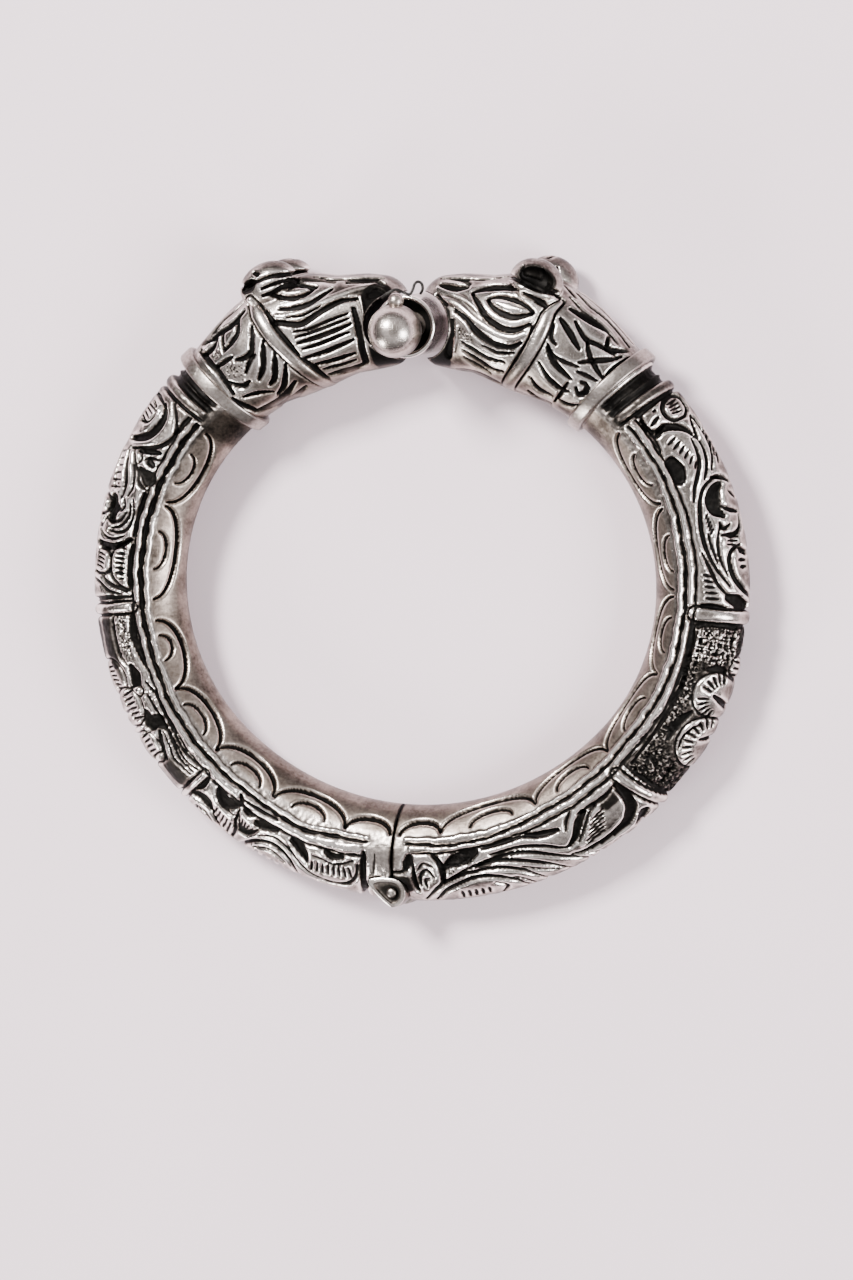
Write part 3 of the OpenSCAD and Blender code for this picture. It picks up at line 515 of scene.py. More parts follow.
RIGHT_UPPER = (
    ("dig", (0.5, 0.85, 0.5), ((356.5, 0.9), (357.2, 2.3), (357.9, 3.6))),
    ("line", 0.34, ((355.9, 4.0), (356.2, 5.4), (356.4, 7.2))),
    ("line", 0.34, ((358.6, 3.9), (361, 5.2), (364, 6.0), (367.4, 6.8))),
    ("ticks", (0.32, 5), ((357.6, 5.0, 357.8, 6.6), (362.4, 6.0, 362.9, 6.9))),
    ("line", 0.48, ((357.9, -0.6), (359.4, 1.3), (362, 2.8), (365, 3.3), (367.2, 2.8),
                    (368.2, 1.4))),
    ("ticks", (0.4, 2), ((363.9, 0.8, 363.9, 1.7), (365.2, 0.8, 365.3, 1.9))),
    ("line", 0.24, ((362.5, 3.7), (365, 4.35), (368, 4.65), (371, 4.2), (372.4, 3.8))),
    ("line", 0.36, ((360.2, 3.4), (363.5, 5.0), (367, 6.0), (371, 6.4), (375, 6.15),
                    (378.5, 5.5), (380.9, 4.4), (382, 2.8), (382.1, 1.6))),
    ("line", 0.22, ((365, 4.9), (369, 5.5), (371.4, 5.6))),
    ("ticks", (0.26, 3), ((368.3, 2.0, 368.6, 3.3), (369.8, 1.4, 370.0, 3.0))),
    ("line", 0.36, ((370.6, 3.8), (370.5, 1.8), (371.8, 0.7), (373.8, 0.4))),
    ("dig", (0.35, 0.35), ((366.6, 0.4), (367.2, 1.4))),
    ("line", 0.3, ((372.4, 2.4), (371.8, 3.4), (373.2, 3.8))),
    ("dig", (0.35, 1.0, 1.15, 0.9, 0.4), ((374.4, 3.0), (376.2, 3.8), (378.0, 3.7),
                                         (379.8, 2.9), (380.6, 2.0))),
    ("line", 0.34, ((374.6, 0.6), (375.3, 2.0), (376.2, 2.8))),
    ("line", 0.26, ((377.0, -0.2), (378.8, 1.1))),
    ("line", 0.36, ((380.6, 0.2), (381.8, 1.6), (382.4, 3.0))),
    ("ticks", (0.3, 5), ((371.2, 5.3, 372.2, 4.8), (374.6, 5.5, 375.4, 5.1))),
    ("line", 0.34, ((378.8, 6.3), (381.4, 5.6), (383.6, 4.6), (385.8, 3.6), (388.4, 3.15),
                    (391, 3.0))),
    ("line", 0.36, ((382.4, 3.9), (385, 2.7), (388, 2.1), (390.6, 2.2))),
    ("dig", (0.2, 0.34, 0.5, 0.5, 0.3), ((391, 2.4), (393, 3.0), (394.8, 4.2), (395.7, 5.6),
                                        (395.2, 6.8))),
    ("ticks", (0.34, 6), ((385.2, 4.5, 386.4, 3.9), (392.2, 6.1, 392.7, 4.9))),
    ("dig", (0.9, 1.05, 0.9), ((384.7, 7.0), (386.5, 6.8), (388.3, 7.0))),
    ("rim", (0.2, 0.3, 0.2), ((383.2, 6.3), (386.5, 5.5), (390.0, 6.3))),
    ("line", 0.3, ((383.6, 2.4), (386.6, 1.2), (390, 0.7), (395, 0.9))),
    ("ticks", (0.24, 5), ((384.6, 0.9, 386.6, 0.1), (390.4, 0.6, 392.4, -0.1))),
    ("line", 0.34, ((390.4, 2.0), (393, 1.7), (395, 1.2))),
    ("line", 0.4, ((395.4, 2.0), (395.8, 3.6), (397.6, 4.3), (399.6, 3.8), (400.4, 2.2),
                   (399.4, 0.9), (396.8, 0.9), (395.4, 2.0))),
    ("ticks", (0.3, 4), ((396.8, 2.0, 397.2, 3.4), (399.2, 1.6, 399.2, 3.2))),
    ("line", 0.4, ((396.2, 5.4), (396.2, 6.8), (398.2, 7.4), (400.6, 7.0))),
    ("line", 0.34, ((398.2, 5.2), (397.6, 6.6))),
    ("pits", (0.2, 3, 0.3), ((399.6, 5.1), (399.7, 5.1))),
    ("dig", (0.25, 0.3, 0.3, 0.25), ((401.2, -0.2), (401.2, 2.2), (401.1, 5), (401.2, 7.4))),
    ("line", 0.24, ((391.6, 7.5), (395, 7.3), (400, 7.35))),
)
# Grooves that run beside the relief. Columns: psi, v and half width along each.
INNER_GROOVES = (
    ((137.6, 9.85, 0.3), (150, 9.85, 0.34), (170, 9.8, 0.34), (186, 9.85, 0.3), (200, 9.85, 0.3),
     (208, 9.55, 0.22), (216, 9.45, 0.2), (226, 9.3, 0.2), (240, 9.1, 0.2), (243, 8.75, 0.24),
     (248, 8.65, 0.26), (253, 9.1, 0.24), (256, 9.4, 0.24), (261, 9.5, 0.12)),
    ((137.6, 8.62, 0.16), (160, 8.6, 0.18), (186, 8.6, 0.18), (200, 8.75, 0.18),
     (210, 8.4, 0.16), (216, 8.1, 0.16), (226, 7.55, 0.16), (236, 7.35, 0.18),
     (244, 7.1, 0.18), (250, 7.0, 0.18), (255, 7.15, 0.18), (260.4, 7.5, 0.18)),
    ((268.2, 9.8, 0.12), (272, 9.7, 0.18), (278, 9.35, 0.18), (285, 9.5, 0.18), (290, 9.7, 0.2),
     (294, 10.05, 0.22), (314, 10.15, 0.24), (320, 10.45, 0.24), (326, 10.05, 0.22),
     (332, 9.95, 0.24), (338, 9.65, 0.28), (352, 9.6, 0.3), (362, 9.4, 0.32), (372, 9.25, 0.28),
     (380, 8.95, 0.24), (388, 8.85, 0.22), (401, 9.1, 0.16)),
    ((269.6, 8.5, 0.12), (281, 8.55, 0.14), (300, 8.65, 0.16), (314, 8.75, 0.2),
     (320, 8.95, 0.22), (330, 8.5, 0.2), (338, 8.3, 0.18), (352, 8.25, 0.18), (360, 7.95, 0.16),
     (372, 7.75, 0.15), (384, 7.75, 0.15), (401, 7.8, 0.15)),
)
# Rounded ribs between those grooves. Columns: psi, v and half width.
RIBS = (
    ((137.6, 9.15, 0.28), (186, 9.2, 0.28), (204, 9.25, 0.3), (216, 8.8, 0.36), (226, 8.5, 0.45),
     (243, 8.0, 0.5), (250, 7.8, 0.5), (260, 8.5, 0.5)),
    ((137.6, 10.5, 0.2), (186, 10.55, 0.22), (205, 10.45, 0.22), (226, 9.9, 0.22),
     (241, 9.6, 0.2), (248, 9.2, 0.2), (256, 9.95, 0.2), (261, 10, 0.15)),
    ((269, 9.2, 0.26), (285, 9.1, 0.26), (300, 9.35, 0.34), (314, 9.45, 0.34), (320, 9.8, 0.34),
     (330, 9.3, 0.36), (338, 9.0, 0.34), (352, 9.0, 0.34), (362, 8.65, 0.36), (380, 8.35, 0.34),
     (401, 8.45, 0.34)),
    ((268, 10.3, 0.2), (290, 10.25, 0.26), (314, 10.7, 0.24), (320, 11.0, 0.24),
     (332, 10.5, 0.22), (352, 10.25, 0.22), (372, 9.9, 0.2), (388, 9.4, 0.2), (401, 9.6, 0.2)),
)


def follow(sheet, table, shape):
    """Applies a shape of the distance from a line that runs the long way of the band."""
    room, fade = 0.8, 0.3
    line = np.array(table)
    at = span(line[:, 0])
    cut, along, across = sheet.window(np.array((at[0] - fade, line[:, 1].min() - room)),
                                      np.array((at[-1] + fade, line[:, 1].max() + room)))
    middle, half = (np.interp(along, at, line[:, k]) for k in (1, 2))
    # Cut by hand, it wanders and swells a little.
    middle = middle + 0.06 * np.sin(0.9 * along) + 0.04 * np.sin(2.3 * along + 1)
    half = half * (1 + 0.2 * np.sin(1.7 * along + 2) + 0.12 * np.sin(3.9 * along))
    inside = ramp((along - at[0]) / fade + 0.5) * ramp((at[-1] - along) / fade + 0.5)
    shape(cut, np.abs(across - middle), half, inside)


def lay_ribs(sheet):
    """Ribs that are rubbed bright, then the dark grooves beside them."""
    rise, rubbed, floor = 0.2, 0.14, -0.6

    def raise_rib(cut, off, half, inside):
        sheet.height[cut] += rise * inside * np.sqrt(np.clip(1 - (off / (half + 0.1)) ** 2, 0, 1))
        sheet.soot_and_shade[cut] -= rubbed * inside * ramp((half - off) / 0.3)

    def sink_groove(cut, off, half, inside):
        sheet.fill(cut, inside * ramp((half + 0.05 - off) / EDGE), floor)

    for table in RIBS:
        follow(sheet, table, raise_rib)
    for table in INNER_GROOVES:
        follow(sheet, table, sink_groove)


# Large and small scallops engraved on the inner flank. Columns: from psi, to psi.
LARGE_SCALLOPS = ((138.3, 158.8), (159.8, 183.8), (189.2, 207), (207.1, 225.3), (225.4, 239.8),
                  (240.2, 255.6), (255.7, 264.9), (266.9, 275.2), (275.3, 295.7), (295.9, 314.2),
                  (314.3, 337.6), (337.9, 357.8), (359.4, 379.7), (381, 401.2))
SMALL_SCALLOPS = ((145, 153.5), (166.5, 176.2), (193, 199.5), (211.5, 220.4), (229.5, 236.6),
                  (244.2, 251.3), (281.5, 290.6), (301, 309), (321, 331), (343.5, 352.5),
                  (364, 373), (386, 394.7))
# Where their ends lie. Columns: psi, v.
SCALLOP_MOUTH = ((137, 11.4), (190, 11.3), (207, 10.9), (225, 10.6), (240, 10.5), (256, 10.5),
                 (275, 11.1), (296, 11.4), (337, 11.4), (358, 11.1), (380, 10.6), (402, 10.6))
LARGE_DEPTH, FULL_DEPTH_AT = 3.1, 14
SMALL_DEPTH, SMALL_DROP = 1.5, 0.1


def scallop(sheet, start, end, drop, depth, wide, deep):
    """An engraved half round that reaches down from the mouth line."""
    turn = np.radians(np.linspace(4, 176, 15))
    middle, half = (start + end) / 2, (end - start) / 2
    psi = middle - half * np.cos(turn)
    mouth = np.interp(psi, *np.array(SCALLOP_MOUTH).T)
    sheet.engrave(np.column_stack((psi, mouth + drop + depth * np.sin(turn))), wide, deep)


def engrave_scallops(sheet):
    for start, end in LARGE_SCALLOPS:
        depth = LARGE_DEPTH * min(1, (end - start) / FULL_DEPTH_AT)
        scallop(sheet, start, end, 0.0, depth, 0.58, 0.6)
    for start, end in SMALL_SCALLOPS:
        scallop(sheet, start, end, SMALL_DROP, SMALL_DEPTH, 0.38, 0.5)


# Rings round the whole section. Columns: psi at the middle, half width, top, side that it leans to.
HOOPS = ((135.5, 0.78, 0.1, LEFT), (403.5, 0.78, 0.1, RIGHT))
# The dark moat beside a ring, towards the head and towards the leaves, and the thin ring in it
MOAT_TO_HEAD, MOAT_TO_LEAVES = 2.4, 0.42
THIN_RISE, THIN_AT, THIN_HALF = 0.42, 0.95, 0.28
# Tarnish and painted shade beside the rings, how much of it the inner flank loses on each half, and its
# reach
HOOP_TARNISH_AND_SHADE, TARNISH_AND_SHADE_LOST, TARNISH_AND_SHADE_REACH = 0.34, {LEFT: 0.08, RIGHT: 0.22}, 3.0
# Bands that cross the relief. Columns: psi and v at both ends, half width, top.
CROSS_BANDS = ((185.2, -0.4, 185.2, 8.2, 0.72, 0.1), (225.4, -0.4, 226.9, 7.3, 0.5, 0.08),
               (314.6, -0.4, 312.7, 8.3, 0.72, 0.1), (353.9, -0.4, 354.2, 7.9, 0.9, 0.1))


def lay_hoops(sheet):
    """The leaning rings at both ends, each in its moat and with its tarnish and painted shade."""
    top_v = sheet.low[1] + SHEET_STEP * np.arange(sheet.height.shape[0])
    out, _ = SECTION.point(np.clip(top_v, 0, SECTION.half), 0)
    along = sheet.low[0] + SHEET_STEP * np.arange(sheet.height.shape[1])
    ends = ramp((10.6 - top_v) / 1.5)[:, None]
    flank = ramp((top_v - 9) / 2)[:, None]
    everywhere = (slice(None), slice(None))
    for middle, half, top, side in HOOPS:
        past = along[None, :] - span(middle + lean_deg(out, side))[:, None]
        off, to_head = np.abs(past), past * side < 0
        moat = ramp((half + np.where(to_head, MOAT_TO_HEAD, MOAT_TO_LEAVES) - off) / EDGE)
        sheet.fill(everywhere, moat * ends, BAND_GROUND)
        thin = ramp(1 - np.abs(off - half - THIN_AT) / THIN_HALF)
        sheet.height += THIN_RISE * to_head * ends * thin
        # Tarnish and painted shade beside each ring, less of it on the inner flank
        tarnish_and_shade = ((HOOP_TARNISH_AND_SHADE - TARNISH_AND_SHADE_LOST[side] * flank)
                   * ramp((half + TARNISH_AND_SHADE_REACH - off) / 2.4))
        sheet.soot_and_shade = np.where(tarnish_and_shade > np.maximum(sheet.soot_and_shade, 0), tarnish_and_shade, sheet.soot_and_shade)
        sheet.fill(everywhere, ends * ramp((half - off) / 0.14), top - 0.22 * (off / half) ** 2)


def lay_cross_bands(sheet):
    for psi0, v0, psi1, v1, half, top in CROSS_BANDS:
        sheet.ribbon([(psi0, v0), ((psi0 + psi1) / 2, (v0 + v1) / 2), (psi1, v1)],
                     [half, half * 0.92, half * 1.15], top, 0.25, 0.34)


def carve_hinge_plates(sheet):
    """Plain plates beside the split."""
    for start, end in ((261.0, 266.0), (265.2, 267.4)):
        sheet.level(start, end, BAND_LOW, 10.9, 0.0)
    sheet.engrave([(260.8, -0.5), (260.8, 7.6)], 0.34, 0.5)
    sheet.engrave([(262.5, 5.2), (262.6, 8.0)], 0.2, 0.2)


def carve_mesh_patch(sheet):
    """Scratched net of thin raised lines on the dark ground of the right flower."""
    rng = np.random.default_rng(11)
    for v in np.arange(1.5, 7.6, 0.52):
        bend = rng.uniform(-0.2, 0.2, 4)
        line = [(psi, v + lift) for psi, lift in zip((344.2, 346.6, 349, 351.4), bend)]
        sheet.ridge(line, [0.1, 0.16, 0.12], 0.3)
    for psi in np.arange(345, 351.4, 0.9):
        bend = rng.uniform(-0.4, 0.4, 3)
        line = [(psi + lift, v) for v, lift in zip((1.6, 4.4, 7.2), bend)]
        sheet.ridge(line, [0.1, 0.14, 0.1], 0.26)


# Sunk fields that the flowers stand in. Columns: from psi, to psi, height.
FIELDS = ((315, 353, -0.34), (186, 226, -0.1))


def carve_band():
    """The whole band's sheet: leaf level where leaves are cut apart, dark fields, ribs, rings."""
    sheet = Sheet(band_place, (span(128), BAND_LOW), (span(413), SECTION.half + 0.3), BAND_GROUND)
    for start, end, height in FIELDS:
        sheet.level(start, end, BAND_LOW, 8.6, height)
    carve_hinge_plates(sheet)
    for table in (LEFT_UPPER, LEFT_FLOWER, LEFT_LOWER, RIGHT_LOWER, RIGHT_FLOWER, RIGHT_UPPER):
        sheet.carve(table)
    carve_mesh_patch(sheet)
    lay_cross_bands(sheet)
    lay_ribs(sheet)
    lay_hoops(sheet)
    engrave_scallops(sheet)
    return sheet


# Making meshes
def plain_mesh(name, points, faces, edges=()):
    mesh = bpy.data.meshes.new(name)
    mesh.from_pydata(points, edges, faces)
    return mesh


def plain_object(name, mesh):
    obj = bpy.data.objects.new(name, mesh)
    bpy.context.scene.collection.objects.link(obj)
    return obj


def make_piece(name, shape, body, nodes, material, flank=None, sharp=None):
    """A mesh piece at the origin, in metres, that rides on a body and stands for CAD nodes.

    shape holds its points, faces and shine.
    """
    points, faces, shine = shape
    mesh = plain_mesh(name, (np.asarray(points, float) * MM).tolist(), faces)
    mesh.validate()
    flank = np.zeros(len(shine)) if flank is None else flank
    for label, values in (("shine", shine), ("flank", flank)):
        data = mesh.attributes.new(label, "FLOAT", "POINT").data
        data.foreach_set("value", np.asarray(values, np.float32))
    mesh.polygons.foreach_set("use_smooth", [True] * len(mesh.polygons))
    if sharp:
        mesh.set_sharp_from_angle(angle=math.radians(sharp))
    piece = plain_object(name, mesh)
    mesh.materials.append(material)
    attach(piece, body)
    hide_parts(*nodes)
    return piece


def grid_faces(rows, columns):
    """Quads of a closed tube: rows round it, columns along it."""
    r, c = np.meshgrid(np.arange(rows), np.arange(columns - 1), indexing="ij")
    a, b = r * columns + c, ((r + 1) % rows) * columns + c
    return np.stack((a, a + 1, b + 1, b), -1).reshape(-1, 4)


def loop_faces(rings, sides, closed=False):
    """Quads from each ring of points to the next, and from the last to the first if closed."""
    return [(i * sides + j, i * sides + (j + 1) % sides,
             (i + 1) % rings * sides + (j + 1) % sides, (i + 1) % rings * sides + j)
            for i in range(rings if closed else rings - 1) for j in range(sides)]


def joined(*parts):
    """Several shapes made into one."""
    points, faces, shine = [], [], []
    for p, f, s in parts:
        base = len(points)
        points += [tuple(q) for q in p]
        faces += [tuple(base + i for i in face) for face in f]
        shine += list(s)
    return points, faces, shine


def read_vectors(items, label):
    """A vector of each item, as rows of an array."""
    values = np.empty(len(items) * 3)
    items.foreach_get(label, values)
    return values.reshape(-1, 3)


# Bands
# Where the leaves, the ribs and the scallops end, along v
LEAVES_TO, RIBS_TO, SCALLOPS_TO = 8.8, 11.2, 14.9
# How far a band runs under its collar, and millimetres to a degree there
UNDER_COLLAR, COLLAR_DEGREE = 0.3, 0.704
HINGE_CLEAR = 2.1
# How far from an end the columns turn to follow it, and the shine of the end's face
END_ROOM, END_SHINE = 6.0, 0.3
# Painted shade along the outer middle line and at the split, each with its reach
MIDDLE_PAINTED_SHADE, MIDDLE_REACH = 0.13, 3.2
SPLIT_PAINTED_SHADE, SPLIT_REACH = 0.6, 0.55
FLANK_FROM, FLANK_FADE = 10.8, 0.4


def band_rows(step):
    """Places across the section: fine on the relief, coarser inside and underneath."""
    half = SECTION.half
    return np.concatenate((
        np.arange(0, LEAVES_TO, step), np.arange(LEAVES_TO, RIBS_TO, step * 0.85),
        np.arange(RIBS_TO, SCALLOPS_TO, step * 1.3), np.arange(SCALLOPS_TO, half, 0.34),
        np.arange(-half, -SCALLOPS_TO, 0.34), np.arange(-SCALLOPS_TO, -RIBS_TO, 0.3),
        np.arange(-RIBS_TO, -LEAVES_TO, 0.2), np.arange(-LEAVES_TO, -0.1, step * 1.5)))


def end_at_collar(side):
    """psi of the band's collar end at each place across it."""
    at = psi_of(side, COLLAR_AT + (COLLAR_HALF - UNDER_COLLAR) / COLLAR_DEGREE)
    return lambda out: at + lean_deg(out, side)


def end_at_hinge(side):
    """psi of the band's hinge end, hollowed round the knuckles."""
    def place(out):
        reach = np.sqrt(np.clip(HINGE_CLEAR ** 2 - (out - HINGE_OUT) ** 2, 0, None))
        return HINGE_PSI - side * np.degrees(np.maximum(reach, SPLIT_GAP) / (WIDE_R + out))
    return place


def end_plain(psi):
    return lambda out: psi + 0 * out


def close_tube(points, faces, rows, columns, psi):
    """Fans of triangles over both ends of a band's tube."""
    for column, turned in ((0, False), (columns - 1, True)):
        ring = [r * columns + column for r in range(rows)]
        middle = len(points)
        x, y = ring_xy(np.array(psi[:, column].mean()), np.array(0.0))
        points = np.vstack((points, (x, y, 0)))
        for a, b in zip(ring, ring[1:] + ring[:1]):
            faces.append((middle, b, a) if turned else (middle, a, b))
    return points, faces


def band_piece(name, body, node, start, end, step, sheet, worn, shine, material):
    """A length of band from one end to the other, closed, with its relief raised."""
    rows = band_rows(step)
    out, _ = SECTION.point(rows, 0)
    first, last = start(out), end(out)
    columns = int(abs(span(last.mean()) - span(first.mean())) / (step * 0.92))
    mean = first.mean() + np.linspace(0, 1, columns) * (last.mean() - first.mean())
    near_first = np.clip(1 - np.abs(mean - mean[0]) / END_ROOM, 0, 1)
    near_last = np.clip(1 - np.abs(mean - mean[-1]) / END_ROOM, 0, 1)
    psi = (mean[None, :] + (first - first.mean())[:, None] * near_first
           + (last - last.mean())[:, None] * near_last)
    v = np.repeat(rows[:, None], columns, 1)
    along, off_middle = span(psi), np.abs(v)
    across, up = SECTION.point(v, sheet.read(along, off_middle, worn))
    # Painted shade is taken off the shine along the outer middle line and at the split
    bright = (sheet.read(along, off_middle, shine)
              - MIDDLE_PAINTED_SHADE * ramp((MIDDLE_REACH - off_middle) / MIDDLE_REACH)
              - SPLIT_PAINTED_SHADE * ramp(1 - np.abs(along - span(HINGE_PSI)) / SPLIT_REACH))
    flank = ramp((off_middle - FLANK_FROM) / FLANK_FADE)
    points = np.stack((*ring_xy(psi, across), up), -1).reshape(-1, 3)
    faces = grid_faces(len(rows), columns).tolist()
    points, faces = close_tube(points, faces, len(rows), columns, psi)
    if first.mean() < last.mean():
        faces = [f[::-1] for f in faces]
    bright = np.append(bright.reshape(-1), (END_SHINE, END_SHINE))
    flank = np.append(flank.reshape(-1), (0, 0))
    return make_piece(name, (points, faces, bright), body, [node], material,
                      flank, 75)


# Lion heads
# The head's outline along the ring. Columns: delta, inner edge, outer edge, share of the cheeks.
HEAD_ROWS = np.array((
    (1.55, -2.4, 2.75, 0.2), (1.9, -4.4, 3.5, 0.36), (2.4, -5.4, 3.95, 0.45),
    (3.2, -6.0, 4.6, 0.54), (4.4, -6.35, 5.2, 0.62), (6.1, -6.5, 5.5, 0.7),
    (8.2, -6.6, 5.85, 0.78), (10.5, -6.65, 6.05, 0.84), (13, -6.55, 6.35, 0.9),
    (15.8, -6.7, 7.15, 0.95), (18, -6.9, 7.8, 0.98), (21, -7.05, 8.2, 1.0),
    (24.5, -7.0, 8.35, 1.0), (28, -6.8, 8.15, 1.0), (31.5, -6.4, 7.65, 0.97),
    (35, -6.3, 7.0, 0.9), (38, -6.2, 6.5, 0.82), (41.4, -5.8, 6.0, 0.74)))
CHEEK, HEAD_POWER = 6.35, 0.9
HEAD_MM = (WIDE_R + 3.0) * math.pi / 180
HEAD_GROUND, HEAD_VOXEL = -0.42, 0.15

# Ears and their hollows. Columns: delta, rho, z, half length along, outwards and across.
EARS = {LEFT: ((23.0, 7.8, 3.3, 4.0, 3.05, 2.4),), RIGHT: ((21.1, 7.5, 3.4, 3.6, 3.2, 2.6),)}
EAR_HOLLOWS = {LEFT: ((26.0, 8.7, 5.8, 1.5, 0.9, 1.5),), RIGHT: ((21.8, 8.4, 6.0, 2.5, 1.6, 1.9),)}
# The slot between the jaws, and the skin round it that stays plain
MOUTH_R, MOUTH_BACK, MOUTH_REACH, MOUTH_EDGE = 4.25, 1.4, 12, 0.12
HEAD_LINE, CROWN_DEEP = 0.15, 0.4
# Shine of plain skin, the painted shade in the mouth's slot, and the share of shine that an ear's hollow
# loses to painted shade
SKIN_SHINE, MOUTH_PAINTED_SHADE, HOLLOW_LOSS = 0.8, 0.08, 0.8


def head_row(delta):
    """Inner edge, outer edge and share of the cheeks at a delta, from rows that are smoothed."""
    fine = np.arange(HEAD_ROWS[0, 0] - 3, HEAD_ROWS[-1, 0] + 3, 0.1)
    window = np.hanning(15)
    window /= window.sum()
    row = []
    for column in (1, 2, 3):
        line = np.interp(fine, HEAD_ROWS[:, 0], HEAD_ROWS[:, column])
        soft = np.convolve(np.pad(line, 7, mode="edge"), window, mode="valid")
        row.append(np.interp(delta, fine, soft))
    return row


def head_outline(side):
    """Closed loft of the head's plain form, from the lips to the collar."""
    deltas = np.concatenate(((1.5, 1.7, 2.0), np.arange(2.4, 41.6, 0.6)))
    turns = np.radians(np.arange(0, 360, 4))
    points = []
    for delta in deltas:
        inner, outer, share = head_row(delta)
        middle, half = (inner + outer) / 2, (outer - inner) / 2
        if delta == deltas[0]:
            half, share = half * 0.6, share * 0.5
        rho = middle + half * signed_power(np.cos(turns), HEAD_POWER)
        z = CHEEK * share * signed_power(np.sin(turns), HEAD_POWER)
        x, y = ring_xy(np.full(len(turns), psi_of(side, delta), float), rho)
        points.append(np.column_stack((x, y, z)))
    n, m = len(turns), len(deltas)
    faces = loop_faces(m, n)
    faces.append(tuple(range(n))[::-1])
    faces.append(tuple(range((m - 1) * n, m * n)))
    if side == LEFT:
        faces = [f[::-1] for f in faces]
    return np.vstack(points).tolist(), faces


def apply_all(obj):
    """The object's mesh with its modifiers made real."""
    ready = obj.evaluated_get(bpy.context.evaluated_depsgraph_get())
    mesh = bpy.data.meshes.new_from_object(ready)
    old = obj.data
    obj.modifiers.clear()
    obj.data = mesh
    bpy.data.meshes.remove(old)
    return mesh


def ear_blobs(side, table):
    """Egg shapes on both sides of a head, turned to follow the ring."""
    eggs = bmesh.new()
    for delta, rho, z, along, out, across in table:
        psi = psi_of(side, delta)
        x, y = ring_xy(np.array(psi, float), rho)
        for up in (z, -z):
            shape = (Matrix.Translation((float(x), float(y), up))
                     @ Matrix.Rotation(math.radians(psi), 4, "Z")
                     @ Matrix.Diagonal((out, along, across, 1)))
            bmesh.ops.create_uvsphere(eggs, u_segments=40, v_segments=24, radius=1, matrix=shape)
    mesh = bpy.data.meshes.new("ears")
    eggs.to_mesh(mesh)
    eggs.free()
    return mesh


def mouth_outline(side):
    """Slot with round ends that the barrel lies in."""
    back = CLASP[0] - side * MOUTH_BACK
    line = []
    for turn in np.radians(np.arange(0, 360, 5)):
        x = back if math.cos(turn) * side < 0 else CLASP[0] + side * 4
        line.append((x + MOUTH_R * math.cos(turn), CLASP[1] + MOUTH_R * math.sin(turn)))
    return line


def prism(outline, low, high):
    """Points and faces of an upright block."""
    n = len(outline)
    points = [(x, y, z) for z in (low, high) for x, y in outline]
    faces = loop_faces(2, n)
    faces += [tuple(range(n))[::-1], tuple(range(n, 2 * n))]
    return points, faces


def head_form(side):
    """The plain head with ears and mouth, as one even skin in millimetres."""
    head = plain_object("head_form", plain_mesh("head_skin", *head_outline(side)))
    mouth = plain_mesh("mouth", *prism(mouth_outline(side), -MOUTH_REACH, MOUTH_REACH))
    helpers = []
    for mesh, how in ((ear_blobs(side, EARS[side]), "UNION"),
                      (ear_blobs(side, EAR_HOLLOWS[side]), "DIFFERENCE"), (mouth, "DIFFERENCE")):
        helper = plain_object("head_helper", mesh)
        helper.hide_render = True
        helpers.append(helper)
        step = head.modifiers.new("step", "BOOLEAN")
        step.operation, step.object, step.solver = how, helper, "EXACT"
        step.use_self = True
    remesh = head.modifiers.new("even", "REMESH")
    remesh.mode, remesh.voxel_size = "VOXEL", HEAD_VOXEL
    apply_all(head)
    for helper in helpers:
        mesh = helper.data
        bpy.data.objects.remove(helper)
        bpy.data.meshes.remove(mesh)
    return head


def head_place(points):
    p = np.asarray(points, float)
    return np.column_stack((p[:, 0] * HEAD_MM, p[:, 1]))


def head_sheet(carve):
    """A head's sheet along delta, worked by one of the carve functions below."""
    sheet = Sheet(head_place, (0, -8), (43 * HEAD_MM, 11.6), HEAD_GROUND)
    carve(sheet)
    return sheet


# Mane and brow lines on the crown. Columns: width and the places (delta, z), drawn on both sides.
CROWN_LINES = ((0.3, ((9, 0), (13, 0), (17, 0))), (0.34, ((26.6, 0), (31, 0), (38.4, 0))),
               (0.3, ((5, 1.6), (8, 2.2), (12, 2.5), (16, 2.2))),
               (0.34, ((27, 1.2), (30, 1.9), (34, 1.3), (38.6, 1.6))),
               (0.34, ((26.8, 2.9), (30, 3.5), (34.4, 2.9), (38.8, 3.2))),
               (0.3, ((26.4, 4.5), (30, 5.1), (34, 4.5), (38.6, 4.7))),
               (0.26, ((17.6, 1.0), (19.6, 2.2), (20.4, 3.8))),
               (0.26, ((24.6, 0.8), (26.2, 1.8), (27.4, 2.4))))


def carve_crown(sheet):
    for wide, line in CROWN_LINES:
        for side in (1, -1):
            sheet.engrave([(delta, z * side) for delta, z in line], HEAD_LINE + wide, CROWN_DEEP)


def head_lines(sheet, rows):
    for line, wide in rows:
        sheet.engrave(line, HEAD_LINE + 1.3 * wide, LINE_DEEP)


